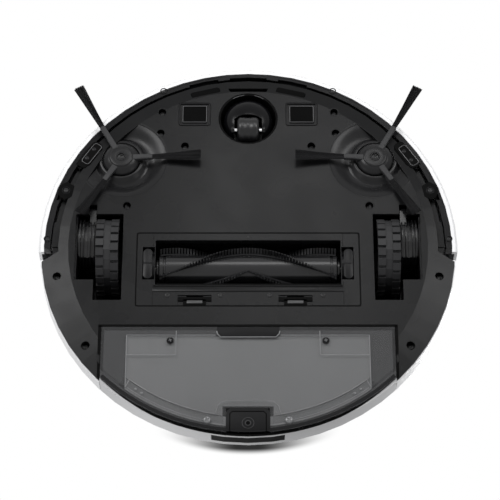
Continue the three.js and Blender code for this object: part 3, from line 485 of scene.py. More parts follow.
def sleeve(build, matrix, end):
    """The soft sleeve that holds a tuft: a bar along +X with rounded edges and grooves along it."""
    start = ARM["start"]
    stations = ((start, 2.7, 1.9, 7.9), (start + 4, 2.6, 1.9, 7.5), ((start + end) / 2, 2.4, 1.8, 6.8),
                (end - 0.4, 2.3, 1.7, 6.2), (end, 2.0, 1.4, 6.1))
    sides, squareness, groove_depth, grooved = 40, 0.42, 0.05, 0.85
    outline = []
    for i in range(sides):
        angle = 2 * pi * i / sides
        across = copysign(abs(cos(angle)) ** squareness, cos(angle))
        high = copysign(abs(sin(angle)) ** squareness, sin(angle))
        groove = 1 - groove_depth * (i % 2) * (abs(high) > grooved)
        outline.append((across * groove, high * groove))
    points, faces = [], []
    for x, half_width, half_height, z in stations:
        points.extend((x, half_width * a, z + half_height * h) for a, h in outline)
    last = len(points) - sides
    for first in range(0, last, sides):
        faces += between(first, first + sides, sides)
    faces.append(list(range(sides)))
    faces.append(list(range(last, last + sides)))
    build.take(points, faces, matrix)


TUFT = {"strands": 150, "joints": 6, "root": 1.8, "fan": 2.4, "thick": 1.2, "thinning": 0.5,
        "droop": 1.15, "lowest": 0.45, "taper": 0.7}


def tuft(matrix, start, reach):
    """Nylon strands along +X that leave the sleeve as a flat bundle and fan out to the tip."""
    build = Build()
    length = reach - start
    joints = TUFT["joints"]
    for _ in range(TUFT["strands"]):
        across = random.uniform(-1, 1)
        high = random.uniform(-1, 1)
        wander = random.gauss(0, 0.35)
        end = 1 - abs(random.gauss(0, 0.012))
        path = []
        for i in range(joints + 1):
            t = i / joints * end
            fan = TUFT["root"] + TUFT["fan"] * t
            sag = ARM["root_z"] + (ARM["tip_z"] - ARM["root_z"]) * t ** TUFT["droop"]
            thick = TUFT["thick"] - TUFT["thinning"] * t
            path.append(matrix @ Vector((
                start - 1 + (length + 1) * t,
                across * fan + wander * t * t,
                max(sag + high * thick, TUFT["lowest"]),
            )))
        size = random.uniform(0.15, 0.2)
        build.tube(path, [size] * joints + [size * TUFT["taper"]], sides=4)
    return build


PLATE_RADIUS = 149.5  # the flat floor ends here and the flange starts
FLANGE_SLOPE = 4.5 / 23.5


def floor_height(x, y):
    """How high the underside lies at a place: flat in the middle, rising over the flange."""
    return FLOOR_Z + max(0.0, hypot(x, y) - PLATE_RADIUS) * FLANGE_SLOPE


def dish(side):
    """The smooth lining of the shallow dish that the side brush turns in."""
    centre = (BRUSH[side].x - side * 2, BRUSH[side].y + 0.2, 0)
    thick = 0.5
    bowl = [(20.2, 15.2), (22, 15.1), (23.5, 14.9), (25, 14.55), (26.5, 14.0), (28, 13.35),
            (29.5, 12.65), (31, 11.95), (32.5, 11.32), (34, 10.8), (35.5, 10.4), (37, 10.1),
            (38.3, 9.93)]
    backing = [(radius, z + thick) for radius, z in reversed(bowl)]
    return Build().lathe(bowl + backing, centre, segments=128, loop=True)


def beyond_plate():
    """All that lies outside the flat part of the floor."""
    outside, top = 260, 40
    ring = [(PLATE_RADIUS, 0), (PLATE_RADIUS, top), (outside, top), (outside, 0)]
    return Build().lathe(ring, segments=180, loop=True)


def eye(at):
    """The thin raised ring round the hub's screw."""
    z = HUB["face"]
    return Build().lathe([(3.2, z + 0.6), (3.2, z - 0.12), (3.5, z - 0.12), (3.9, z + 0.2),
                          (3.9, z + 0.6)], at, segments=48, loop=True)


def collar(at):
    """The raised ring on the floor that the hub turns in."""
    return Build().lathe([(16.3, 15.5), (16.3, 11.3), (16.7, 10.9), (18.2, 10.9), (18.9, 11.3),
                          (20.2, 13.2), (22.2, 14.9), (24.0, 15.2), (24.0, 15.7)], at, loop=True)


for label, side in SIDES:
    body = f"side_brush_{label}"
    axis = (BRUSH[side].x, BRUSH[side].y, 0)
    piece(f"brush_hub_{label}", hub(axis), body, "black_plastic", HUB_GREY,
          replaces=(f"side_brush_hub_{label}",))
    screws(f"brush_screw_{label}", [(*axis[:2], HUB["face"] + 1.3)], body, 3.1)
    sleeves = Build()
    first_arm = 180 if side > 0 else 0
    for index, arm in enumerate(ARM_ORDER[side]):
        matrix = turned(axis, first_arm + 120 * index)
        sleeve_end, tip = ARM_SIZES[arm]
        sleeve(sleeves, matrix, sleeve_end)
        piece(f"brush_tuft_{label}_{index + 1}", tuft(matrix, sleeve_end, tip), body, "bristle",
              replaces=(f"side_brush_bristles_{label}_{index + 1}",))
    piece(f"brush_sleeves_{label}", sleeves, body, "black_plastic", SLEEVE)
    piece(f"brush_eye_{label}", eye(axis), body, "black_plastic", SLEEVE)
    # painted light: collar and dish use the lightened floor plastic
    charcoal(f"brush_collar_{label}", collar(axis), DISH_PAINTED_LIGHT)
    charcoal(f"brush_dish_{label}", dish(side), DISH_PAINTED_LIGHT, minus=beyond_plate())

# ---- caster

CASTER_AT = (CASTER.x, CASTER.y, 0)


def caster_dome():
    """The glossy fork: a dome with an arched slot for the wheel."""
    radius, edge, depth, power, steps = 21.4, 18.0, 12.8, 2.15, 20
    base = CASTER.z - 4
    disc, thick = 23.2, 2.8
    profile = [(0, edge - depth)]
    for i in range(1, steps + 1):
        share = sin(pi / 2 * i / steps)
        profile.append((radius * share, edge - depth * (1 - share ** power) ** (1 / power)))
    profile += [(radius, base - 1), (disc, base), (disc, base + thick), (0, base + thick)]
    return Build().lathe(profile, CASTER_AT)


def caster_slot():
    """The room for the wheel: straight sides and a front that arches away from it."""
    half, steps, arch, power, top = 11.9, 12, 3.4, 2.2, 23.4
    front = CASTER_AXLE.y - 12.6
    rear = CASTER.y + 26
    outline = [(half, rear), (-half, rear)]
    for i in range(steps + 1):
        x = -half + 2 * half * i / steps
        outline.append((x, front + arch * (abs(x) / half) ** power))
    return Build().prism(outline, -1, top)


def caster_wheel():
    """The wheel: a bored drum with round edges and a shallow band in the middle of its tread."""
    half, radius, bore, bend, steps, groove = 9.5, 11.0, 1.8, 3.6, 8, 0.25
    shoulder = radius - bend
    corner = [(shoulder, -half)]
    for i in range(steps + 1):
        angle = pi / 2 * i / steps
        corner.append((shoulder + bend * sin(angle), -half + bend * (1 - cos(angle))))
    tread = [(radius, -3), (radius - groove, -2.6), (radius - groove, 2.6), (radius, 3)]
    far = [(r, -x) for r, x in reversed(corner[1:])]
    profile = [(bore, -half)] + corner + tread + far + [(bore, half)]
    return Build().lathe(profile, CASTER_AXLE, axis="X", segments=64, loop=True)


def caster_eyes():
    """Rings round the ends of the axle, on the two lugs."""
    build = Build()
    profile = [(1.9, -0.5), (3.3, -0.5), (3.5, 0), (3.3, 2.2), (1.9, 2.2)]
    for x in (12.2, -13.9):
        build.lathe(profile, (x, CASTER_AXLE.y, CASTER_AXLE.z), axis="X", segments=32, loop=True)
    return build


piece("caster_dome", caster_dome(), "caster_fork", "gloss_black", DOME, replaces=("caster_fork",),
      minus=caster_slot(), soften=0.35)
piece("caster_eyes", caster_eyes(), "caster_fork", "gloss_black")
dress(nodes["caster_cup"], MATTE_BLACK)
piece("caster_roller", caster_wheel(), "caster_wheel", "black_plastic", WHEEL_GLOSS,
      replaces=("caster_wheel",))
caster_lip = Build().lathe([(24.3, 40), (24.3, 14), (24.5, 12.2), (24.8, 11.2), (25.3, 10.5), (25.4, 14),
                            (25.3, 40)], CASTER_AT, loop=True)
piece("caster_lip", caster_lip, "chassis", "gloss_black", DOME)
# painted highlight: two light arcs on the caster lip where it would catch the light
lip_highlight = Build()
for start, end in ((237, 262), (283, 303)):
    lip_highlight.tube(raised(arc(24.2, start, end, 16, CASTER), 10.7), 0.4)
piece("caster_lip_edge", lip_highlight, "chassis", "gloss_black", PAINTED_HIGHLIGHT)

# ---- main brush

DRUM = 13.0
STRIP = {"count": 4, "apex": -2.65, "twist": 1.9, "tip": 19.8, "pitch": 2.4, "half_width": 0.7}
ROLLER_HALF = (span("main_brush_bristles_1")[1].x - span("main_brush_bristles_1")[0].x) / 2


def drum():
    """The drum with its end collars and the shaft that turns in the bearings."""
    half = ROLLER_HALF + 1
    end = span("main_brush_core")[1].x
    profile = [(0, -end), (4, -end), (4, -half - 2.4), (9, -half - 2.4), (9.4, -half - 2),
               (9.4, -half - 0.6), (7.6, -half - 0.4), (7.6, -half), (12.4, -half), (DRUM, -half + 0.6),
               (DRUM, -half + 3.4), (DRUM - 0.8, -half + 3.8), (DRUM - 0.8, -half + 5.2),
               (DRUM, -half + 5.6)]
    profile += [(radius, -x) for radius, x in reversed(profile)]
    return Build().lathe(profile, ROLLER, axis="X", segments=72)


def roller_point(radius, phase, x, shift=0.0):
    angle = phase + STRIP["twist"] * abs(x) / ROLLER_HALF
    return ROLLER + Vector((
        x,
        radius * cos(angle) - shift * sin(angle),
        radius * sin(angle) + shift * cos(angle),
    ))


def tuft_block(phase, x):
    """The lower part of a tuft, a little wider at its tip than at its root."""
    points = []
    wide = STRIP["half_width"]
    for radius, share in ((DRUM, 0.24), (STRIP["tip"] - 0.5, 0.36)):
        half = share * STRIP["pitch"]
        for dx, shift in ((-half, -wide), (half, -wide), (half, wide), (-half, wide)):
            points.append(roller_point(radius, phase, x + dx, shift))
    return points


def roller_strip(phase):
    """A strip of bristle tufts on a low base that winds from the middle to both ends."""
    build = Build()
    steps, tufts, strands = 60, int(2 * ROLLER_HALF / STRIP["pitch"]), 9
    base = [roller_point(DRUM + 0.5, phase, -ROLLER_HALF + 2 * ROLLER_HALF * i / steps)
            for i in range(steps + 1)]
    build.tube(base, 1.0)
    for i in range(tufts):
        x = -ROLLER_HALF + 0.7 + (2 * ROLLER_HALF - 1.4) * i / (tufts - 1)
        build.take(tuft_block(phase, x), BLOCK_FACES)
        for _ in range(strands):
            spread = random.uniform(-0.8, 0.8)
            tip_spread = spread * 1.15 + random.gauss(0, 0.1)
            shift = random.uniform(-0.6, 0.6)
            reach = STRIP["tip"] - abs(random.gauss(0, 0.25)) - 0.6 * abs(spread)
            path = [
                roller_point(DRUM + 0.5, phase, x + spread, shift),
                roller_point((DRUM + reach) / 2, phase, x + (spread + tip_spread) / 2, shift * 1.1),
                roller_point(reach, phase, x + tip_spread, shift * 1.3),
            ]
            build.tube(path, 0.14, sides=3)
    return build


piece("brush_drum", drum(), "main_brush", "gloss_black", DRUM_GREY, replaces=("main_brush_core",))
for index in range(STRIP["count"]):
    phase = STRIP["apex"] + 2 * pi * index / STRIP["count"]
    piece(f"brush_strip_{index + 1}", roller_strip(phase), "main_brush", "bristle",
          replaces=(f"main_brush_bristles_{index + 1}",))

# ---- main brush cover

MOUTH_X = COVER_HIGH.x - 15
MOUTH_REAR = 39.0
PROUD = 0.06  # how far thin dark bands stand down from the floor
LATCHES = [middle(f"brush_cover_latch_{number}") for number in (1, 2)]
SCREW_Y = 48.4


def cross_bar(overlap, front, rear, corner, low, high):
    """A bar across the mouth, with round corners."""
    half = MOUTH_X + overlap
    outline = rounded(-half, half, MOUTH_REAR + front, MOUTH_REAR + rear, corner)
    return Build().prism(outline, low, high)


def cover_relief():
    """The seams of the cover's end panels, before and behind the bearings."""
    build = Build()
    low, half, room = COVER_LOW.z, 78.8, 16.5
    for _, side in SIDES:
        x = side * half
        build.tube([(x, COVER_LOW.y + 1, low), (x, ROLLER.y - room, low)], 0.32, sides=6)
        build.tube([(x, ROLLER.y + room, low), (x, COVER_HIGH.y - 1, low)], 0.32, sides=6)
    return build


def around(place, half, front, rear, corner):
    """A rounded outline placed round a latch."""
    return rounded(place.x - half, place.x + half, place.y - front, place.y + rear, corner)


matte("scraper_bar", cross_bar(1.2, -2.9, -0.4, 1.1, 12.4, 13.5), soften=0.5)
charcoal("scraper_edge", cross_bar(2, 1.5, 6.3, 1, COVER_LOW.z - 0.45, COVER_LOW.z + 1), soften=0.3)
charcoal("cover_seams", cover_relief())
for index, place in enumerate(LATCHES):
    tab = Build().prism(around(place, 6.6, 1.6, 1.4, 0.5), 9.9, 10.7)
    piece(f"latch_tab_{index + 1}", tab, f"cover_latch_{index + 1}", "steel", PALE_TAB, soften=0.25)


def frame_band(x0, x1, y0, y1, width, z):
    """A flat closed band that runs round a rectangle, as a black joint gap does."""
    corner = 1.0
    outer = rounded(x0 - width, x1 + width, y0 - width, y1 + width, corner + width)
    inner = rounded(x0, x1, y0, y1, corner)
    count = len(outer)
    points = raised(outer + inner, z) + raised(outer + inner, z + 0.5)
    faces = []
    for first, second in ((0, 1), (2, 3), (0, 2), (1, 3)):
        faces += between(first * count, second * count, count)
    return Build().take(points, faces)


matte("cover_gap", frame_band(COVER_LOW.x, COVER_HIGH.x, COVER_LOW.y, COVER_HIGH.y, 1.1,
                              FLOOR_Z - PROUD))
mouth_edge = frame_band(-MOUTH_X, MOUTH_X, COVER_LOW.y + 6.4, MOUTH_REAR, 0.5, FLOOR_Z - 0.12)
charcoal("mouth_edge", mouth_edge, DARK_SATIN)
pocket_z = FLOOR_Z - 0.07
matte("scraper_gap", Build().block(-MOUTH_X - 1, MOUTH_X + 1, MOUTH_REAR - 0.3, MOUTH_REAR + 1.4,
                                   pocket_z, FLOOR_Z + 1))
latch_pockets = Build()
for place in LATCHES:
    latch_pockets.prism(around(place, 14, 4.6, -1.0, 0.6), pocket_z, FLOOR_Z + 0.6)
    latch_pockets.prism(around(place, 9.4, 2.4, 2.7, 0.6), pocket_z, FLOOR_Z + 0.6)
matte("latch_pockets", latch_pockets)
CAP = {"near": 79.4, "far": 87.2, "front": 13.5, "rear": 14.5, "corner": 3.6}
caps = Build()
for _, side in SIDES:
    x0, x1 = sorted((side * CAP["near"], side * CAP["far"]))
    outline = rounded(x0, x1, ROLLER.y - CAP["front"], ROLLER.y + CAP["rear"], CAP["corner"], steps=8)
    caps.prism(outline, FLOOR_Z - 0.5, FLOOR_Z + 3)
charcoal("bearing_caps", caps, DARK_SATIN, soften=0.7)
screws("cover_screws", [(x, SCREW_Y, FLOOR_Z - 0.1) for x in (-66.4, -22.9, 17.7, 61.6)], "chassis", 2.2)
screws("cover_front_screw", [(0, COVER_LOW.y + 3.3, FLOOR_Z + 0.1)], "chassis", 1.1)

# ---- tank

TANK_Z = TANK_LOW.z
TANK_RADIUS = TANK_HIGH.y
LATCH_Y = 162.8
TRAY_REAR = 131.5  # where the tray's straight sides end
CORNER = {"x": 59.0, "rear": 102.2}  # the squares in the tray's front corners
TRAY_RADIUS, LAP_RADIUS, INSIDE_RADIUS = 157.4, 165.2, 167.0
LINER_Z = (12.62, 13.3)  # just above the clear base, through which it is seen
GAP = 2.6  # the black joint beside the tank


def tank_lines():
    """Raised lines on the clear base, over the tray inside and round the latch."""
    build = Build()

    def line(path, size=0.3):
        build.tube(raised(path, TANK_Z), size, sides=6)

    half, front = TRAY_HIGH.x, TRAY_LOW.y
    square_x, square_rear = CORNER["x"] - 0.4, CORNER["rear"] + 0.2
    for _, side in SIDES:
        line([(side * half, front), (side * half, TRAY_REAR)])
        line([(side * square_x, front - 4), (side * square_x, square_rear), (side * half, square_rear)])
        rear = arc(TANK_RADIUS - 13.5, 90 - side * 37.5, 90 - side * 9.6, 24)
        line([(side * half, TRAY_REAR)] + rear)
        line(arc(TANK_RADIUS - 6.8, 90 - side * 36.5, 90 - side * 12.0, 24), 0.27)
    line([(-half, front), (-26.5, front)])
    line([(26.5, front), (half, front)])
    line(both_halves([(-26, 154), (-24.6, 148), (-20.4, 144), (-15, 143)]))
    return build


on_tank("tank_ridges", tank_lines(), CLEAR_RIB)


def tank_grip():
    """The finger grip in the middle of the tank's front edge."""
    front = TANK_LOW.y + 0.3
    outline = [(-25.6, front), (26, front), (25, front + 5.0), (22.6, front + 8.4), (-22.2, front + 8.4),
               (-24.6, front + 5.0)]
    return Build().prism(outline, TANK_Z - 0.15, TANK_Z + 1)


def latch_plate():
    """The dark pocket round the tank's latch, cut off by the tank's round edge."""
    radius, half = TANK_RADIUS - 1.4, 17.8
    rear = sqrt(radius ** 2 - half ** 2)
    outline = both_halves([(half, rear), (17.6, 155), (16.6, 151.2), (13.6, 149.5)])
    crown = arc(radius, 96.0, 84.0, 8)
    return Build().prism(outline + crown[1:-1], TANK_Z - 0.2, TANK_Z + 1)


def latch_rings():
    """Two raised rings in the middle of the latch pocket."""
    build = Build()
    high = TANK_Z + 0.4
    for inner, outer in ((1.7, 2.5), (4.4, 5.0)):
        build.lathe([(inner, high), (inner, TANK_Z - 0.45), (outer, TANK_Z - 0.35), (outer, high)],
                    (0, LATCH_Y, 0), segments=48, loop=True)
    return build


def latch_frame():
    """The thin black frame in the latch pocket, and the stud in the middle of its rings."""
    half, cut, front, rear = 14.6, 2, 152.6, 170.0
    path = both_halves([(-half, rear), (-half, front + cut), (-half + cut, front)])
    stud = [(0, TANK_Z + 0.3), (0, TANK_Z - 0.4), (1.6, TANK_Z - 0.4), (1.6, TANK_Z + 0.3)]
    build = Build().tube(raised(path, TANK_Z - 0.2), 0.4)
    return build.lathe(stud, (0, LATCH_Y, 0), segments=32, loop=True)


def tank_inside():
    """The parts of the tank's inner floor that lie beside the tray, seen through the smoked base."""
    build = Build()
    half, front, radius = TRAY_HIGH.x + 0.4, TANK_LOW.y + 2.6, INSIDE_RADIUS
    edge, square_x, square_rear = TANK_HIGH.x - 2.4, CORNER["x"], CORNER["rear"]
    for _, side in SIDES:
        start = degrees(acos(edge / radius))
        end = degrees(acos(half / radius))
        outline = [(half, front), (edge, front)] + arc(radius, start, end, 8)
        build.prism([(side * x, y) for x, y in outline], *LINER_Z)
        corner = [(square_x, front), (half, front), (half, square_rear), (square_x, square_rear)]
        build.prism([(side * x, y) for x, y in corner], *LINER_Z)
    return build.block(-square_x, square_x, front, TRAY_LOW.y - 0.2, *LINER_Z)


def tank_lap():
    """The pale rim of the inner floor behind the tray."""
    reach = degrees(acos((TRAY_HIGH.x + 0.4) / TRAY_RADIUS))
    return Build().arc_band(TRAY_RADIUS, LAP_RADIUS, reach, 180 - reach, *LINER_Z, 40)


def rear_lip():
    """The dark step between the tank's base and its white wall, narrow at both ends."""
    inner, reach, steps, thin = TANK_RADIUS + 0.35, 46, 60, 0.15
    outline = arc(inner, reach, 180 - reach, steps)
    for i in range(steps + 1):
        angle = radians(180 - reach - (180 - 2 * reach) * i / steps)
        swell = min(1.0, (1 - abs(degrees(angle) - 90) / (90 - reach)) * 2.2)
        radius = inner + thin + swell * (SHELL_RADIUS - 0.1 - inner - thin)
        outline.append((radius * cos(angle), radius * sin(angle)))
    return Build().prism(outline, 12.2, 12.55)


def tank_joint():
    """The black joint in front of the tank and beside it, which rises with the flange."""
    build = Build()
    low, high = FLOOR_Z - PROUD, FLOOR_Z + 1
    build.block(TANK_LOW.x - GAP, TANK_HIGH.x + GAP, TANK_LOW.y - 2.0, TANK_LOW.y - 0.1, low, high)
    for _, side in SIDES:
        near = TANK_HIGH.x
        x0, x1 = sorted((side * near, side * (near + GAP)))
        build.block(x0, x1, TANK_LOW.y - 1, 89, low, high)
        flank = [(near, 88), (near + GAP, 88), (near + GAP, 120.5), (near, 123)]
        base = [Vector((side * x, y, floor_height(x, y) - 0.36)) for x, y in flank]
        build.take(base + [corner + Vector((0, 0, 1)) for corner in base], BLOCK_FACES)
    return build


on_tank("tank_inside", tank_inside(), INSIDE)
on_tank("tank_lap", tank_lap(), INSIDE_PALE)
piece("tank_rear_lip", rear_lip(), "tank", "black_plastic", MATTE_BLACK)
on_tank("tank_grip", tank_grip(), POCKET, soften=0.1)
grip_line = [(x, TANK_LOW.y + back, TANK_Z) for x, back in (
    (-25.6, 4), (-24.8, 6.6), (-22.2, 9.3), (22.6, 9.3), (25.2, 6.6), (26, 4),
)]
on_tank("tank_grip_line", Build().tube(grip_line, 0.45), CLEAR_RIB)
on_tank("latch_plate", latch_plate(), POCKET, soften=0.1)
on_tank("latch_rings", latch_rings(), SLEEVE)
on_tank("latch_frame", latch_frame(), MATTE_BLACK)
rim = Build().arc_band(TANK_RADIUS - 2.8, TANK_RADIUS - 0.05, 90 - 44.4, 90 + 44.4, TANK_Z - 0.1,
                       TANK_Z + 1, 60)
on_tank("tank_rim_line", rim, POCKET)
matte("tank_gap", tank_joint())


def tank_screws(name, places, depth, radius, made):
    """Screws in the tank's base, each place on both sides."""
    both = [(side * x, y, TANK_Z - depth) for x, y in places for _, side in SIDES]
    screws(name, both, "tank", radius, made)


tank_screws("tank_screws", [(63.4, 89.5)], 0, 2.9, POCKET)
# painted highlight: a light dot in the middle of each dark tank screw
tank_screws("tank_screw_highlights", [(63.4, 89.5)], 0.2, 1.7, CLEAR_RIB)
tank_screws("tank_feet", [(32.8, 160.2)], 0, 3.1, CLEAR_RIB)
tank_screws("tank_dots", [(90.6, 132.9), (85.6, 136.4)], 0, 1.0, CLEAR_RIB)

# ---- contacts and sensors


def contact_bar(build, label, grow, corner, z, size):
    """A raised bar round a charging contact; grow is how far outside its plate it runs."""
    low, high = span(f"charging_contact_{label}")
    outline = rounded(low.x - grow, high.x + grow, low.y - grow, high.y + grow, corner)
    return build.tube(raised(outline, z), size, closed=True)


for label, _ in SIDES:
    bars = Build()
    contact_bar(bars, label, -1.5, 1.6, 10.6, 0.35)
    contact_bar(bars, label, 0.6, 1.6, 10.2, 0.55)
    charcoal(f"contact_frame_{label}", bars, DARK_SATIN)
    # painted highlight: a light line round each contact plate
    line = contact_bar(Build(), label, -2.2, 0.8, FLOOR_Z - 0.2, 0.3)
    charcoal(f"contact_highlight_line_{label}", line, PAINTED_HIGHLIGHT)
    for dark in ("charging_contact", "cliff_sensor_side", "cliff_sensor_front"):
        dress(nodes[f"{dark}_{label}"], LENS_BLACK)
dress(nodes["tank_release_button"], MATTE_BLACK)

WELLS = ((74, -129), (75, -108), (54, -95), (102, -36.5), (158.3, 29.5), (132.4, 93))
WELL_RADIUS = 3.55


def wells():
    """Deep round screw wells, a thin lip where the floor is flat, and the screws at their bottoms."""
    cups, lips, heads = Build(), Build(), []
    inner, outer, rim = WELL_RADIUS - 0.3, WELL_RADIUS + 0.15, WELL_RADIUS + 0.6
    for _, side in SIDES:
        for x, y in WELLS:
            z = floor_height(x, y)
            at = (side * x, y, 0)
            cups.lathe([(inner, z + 0.25), (outer, z + 0.25), (outer, z + 6), (0, z + 6), (0, z + 5),
                        (inner, z + 5)], at, segments=40, loop=True)
            if z < FLOOR_Z + 0.1:
                lips.lathe([(inner, z + 1.2), (inner, z + 0.15), (inner + 0.25, z - 0.07),
                            (rim, z - 0.07), (rim, z + 1.2)], at, segments=40, loop=True)
            heads.append((side * x, y, z + 4.2))
    matte("well_cups", cups)
    charcoal("well_lips", lips)
    screws("well_screws", heads, "chassis", 2.3)


wells()

SENSOR = {"x": 135.2, "y": -86.8, "turn": 56.5, "half": 14.0, "half_width": 4.8}


def side_sensor(label, side):
    """The black surround, a painted highlight line round the window and two lenses of a cliff sensor on the
    flange.
    """
    z = span(f"cliff_sensor_side_{label}")[0].z
    place = turned((side * SENSOR["x"], SENSOR["y"], 0), side * SENSOR["turn"])
    half, width = SENSOR["half"], SENSOR["half_width"]
    surround = Build().prism(rounded(-half, half, -width, width, 3.4, steps=8), z - 0.5, z + 1.4, place)
    inner = rounded(-half + 5, half - 1.7, -width + 0.2, width - 2.2, 2.2, steps=8)
    if side < 0:
        inner = [(x, -y) for x, y in inner]
    line = Build().tube([place @ point for point in raised(inner, z - 0.55)], 0.3, closed=True)
    lenses = Build()
    lens = [(0, z - 1.0), (1.2, z - 0.95), (1.9, z - 0.6), (2.0, z), (0, z)]
    for x in (-4.0, 6.4):
        lenses.lathe(lens, (x, 0, 0), segments=32, matrix=place)
    return surround, line, lenses


for label, side in SIDES:
    surround, line, lenses = side_sensor(label, side)
    matte(f"sensor_surround_{label}", surround, soften=0.3)
    # painted highlight: the light line round the sensor window
    piece(f"sensor_highlight_line_{label}", line, "chassis", "black_plastic", PAINTED_HIGHLIGHT)
    piece(f"sensor_lenses_{label}", lenses, "chassis", "gloss_black", DARK_SATIN)

CARRIER_Z = span("bumper_carrier")[0].z
POCKET_SHAPE = ((147, -56), (153.1, -60.5), (160, -56.7), (160.6, -50), (158.6, -45), (154.3, -42.8),
                (148.6, -46))
BOSSES = ((73.4, -152.8), (168.0, -6.6))


def ring(build, x, y, z, inner, outer, height):
    """A flat round ring that stands down from z."""
    low = z - height
    return build.lathe([(inner, z + 1), (inner, low), (outer - 0.2, low), (outer, low + 0.25),
                        (outer, z + 1)], (x, y, 0), segments=40, loop=True)


def rail_details():
    """The open pocket on the rail with its screw, and the round bosses along the bumper's carrier."""
    pockets, rings, heads = Build(), Build(), []
    low, high = 11.2, 11.6
    x, y = 153.9, -51.8
    for _, side in SIDES:
        pockets.prism([(side * px, py) for px, py in POCKET_SHAPE], low, high)
        ring(rings, side * x, y, low, 2.9, 3.6, 0.3)
        heads.append((side * x, y, low - 0.1))
    matte("rail_pockets", pockets, soften=0.15)
    piece("rail_pocket_rings", rings, "chassis", "black_plastic")
    screws("rail_screws", heads, "chassis", 2.3)
    bosses, boss_heads = Build(), []
    for _, side in SIDES:
        for x, y in BOSSES:
            ring(bosses, side * x, y, CARRIER_Z, 2.1, 3.1, 0.6)
            boss_heads.append((side * x, y, CARRIER_Z + 0.2))
    piece("carrier_bosses", bosses, "bumper", "charcoal_plastic")
    screws("carrier_screws", boss_heads, "bumper", 1.9)


def carrier_lines():
    """Thin raised lines that follow the carrier."""
    build = Build()
    radius, z = 168.9, CARRIER_Z - 0.05
    for start, end in ((194, 206), (232, 262), (278, 308), (334, 346)):
        build.tube(raised(arc(radius, start, end, 24), z), 0.3, sides=6)
    return build


rail_details()
piece("carrier_lines", carrier_lines(), "bumper", "charcoal_plastic", DARK_SATIN)

# ---- wheel gearboxes

GEARBOX = {"y": -10.0, "z": 33.0, "radius": 22.7, "ribs": (128.9, 131.9, 137.8, 140.6)}


def gearbox_ribs(side):
    """Rounded ribs that run round the drum of a wheel's gearbox."""
    build = Build()
    radius = GEARBOX["radius"]
    foot, flank, top = radius - 1, radius + 0.05, radius + 0.3
    profile = [(foot, -0.8), (flank, -0.7), (top, -0.35), (top, 0.35), (flank, 0.7), (foot, 0.8)]
    for x in GEARBOX["ribs"]:
        build.lathe(profile, (side * x, GEARBOX["y"], GEARBOX["z"]), axis="X", loop=True)
    return build


for label, side in SIDES:
    ribs = gearbox_ribs(side)
    piece(f"gearbox_ribs_{label}", ribs, f"suspension_{label}", "black_plastic", GEAR_GLOSS)
    dress(nodes[f"wheel_gearbox_{label}"], GEAR_GLOSS)

# ---- the camera

TILT = radians(28.35)  # from straight up under the machine towards its rear
DISTANCE = 1.78
TARGET = Vector((1.58, 3.96, 14)) * MM
LENS, SENSOR_WIDTH = 153.6, 36


def make_camera():
    """A camera under the machine, behind its middle, that looks up and forward."""
    data = bpy.data.cameras.new("camera")
    data.lens = LENS
    data.sensor_width = SENSOR_WIDTH
    data.clip_start = 0.05
    data.clip_end = 30
    camera = new_object("camera", data)
    sine = sin(TILT)
    cosine = cos(TILT)
    turn = Matrix(((1, 0, 0), (0, -cosine, sine), (0, -sine, -cosine)))
    place = TARGET + DISTANCE * Vector((0, sine, -cosine))
    camera.matrix_world = Matrix.Translation(place) @ turn.to_4x4()
    bpy.context.scene.camera = camera


make_camera()

# ---- stage

FILL = 0.36


def calculate(tree, operation, *values):
    """One step of shader arithmetic; a value is a number or another node's output."""
    node = add(tree, "ShaderNodeMath", operation=operation)
    for field, value in zip(node.inputs, values):
        if isinstance(value, float):
            field.default_value = value
        else:
            tree.links.new(value, field)
    return node.outputs[0]


def mixed(tree, weight, first, second):
    """Two shaders, mixed: all of the first where the weight is 0, all of the second where it is 1."""
    mix = add(tree, "ShaderNodeMixShader")
    tree.links.new(weight, mix.inputs[0])
    tree.links.new(first, mix.inputs[1])
    tree.links.new(second, mix.inputs[2])
    return mix


def background(tree, colour, strength):
    node = add(tree, "ShaderNodeBackground")
    node.inputs["Color"].default_value = (*colour, 1)
    node.inputs["Strength"].default_value = strength
    return node.outputs[0]


def diffuse(tree, shade):
    node = add(tree, "ShaderNodeBsdfDiffuse")
    node.inputs["Color"].default_value = (shade, shade, shade, 1)
    return node.outputs[0]


def make_world():
    """White where the camera, a reflection or glass looks at it, and a soft fill everywhere else."""
    world = bpy.data.worlds.new("studio")
    world.use_nodes = True
    bpy.context.scene.world = world
    tree = world.node_tree
    tree.nodes.clear()
    path = add(tree, "ShaderNodeLightPath")
    seen = path.outputs["Is Camera Ray"]
    for ray in ("Glossy", "Transmission"):
        seen = calculate(tree, "MAXIMUM", seen, path.outputs[f"Is {ray} Ray"])
    fill = background(tree, (0.97, 0.98, 1.0), FILL)
    backdrop = background(tree, (1, 1, 1), 1.0)
    output = add(tree, "ShaderNodeOutputWorld")
    link(tree, mixed(tree, seen, fill, backdrop), 0, output, "Surface")


def softbox(name, place, size, power):
    """A rectangular lamp that faces the robot."""
    data = bpy.data.lights.new(name, "AREA")
    data.shape = "RECTANGLE"
    data.size = size[0]
    data.size_y = size[1]
    data.energy = power
    lamp = new_object(name, data)
    lamp.location = place
    lamp.rotation_euler = (Vector((0, 0, 0.02)) - Vector(place)).to_track_quat("-Z", "Y").to_euler()


make_world()
front_power, brighter_right = 7.8, 1.6
softbox("rear", (0, 1.5, -0.75), (1.5, 0.7), 0.8)
for label, side in SIDES:
    softbox(f"side_{label}", (side * 1.3, 0.7, -0.5), (0.5, 1.0), 2)
    power = front_power - side * brighter_right
    softbox(f"front_{label}", (side * 0.64, -0.44, -1.0), (0.36, 0.66), power)
softbox("centre", (0.05, -0.52, -0.85), (0.3, 0.32), 1.9)
softbox("top_key", (0.6, -0.9, 1.6), (1.2, 1.2), 22)
softbox("top_rear", (-0.8, 1.2, 1.4), (1.2, 1.2), 14)


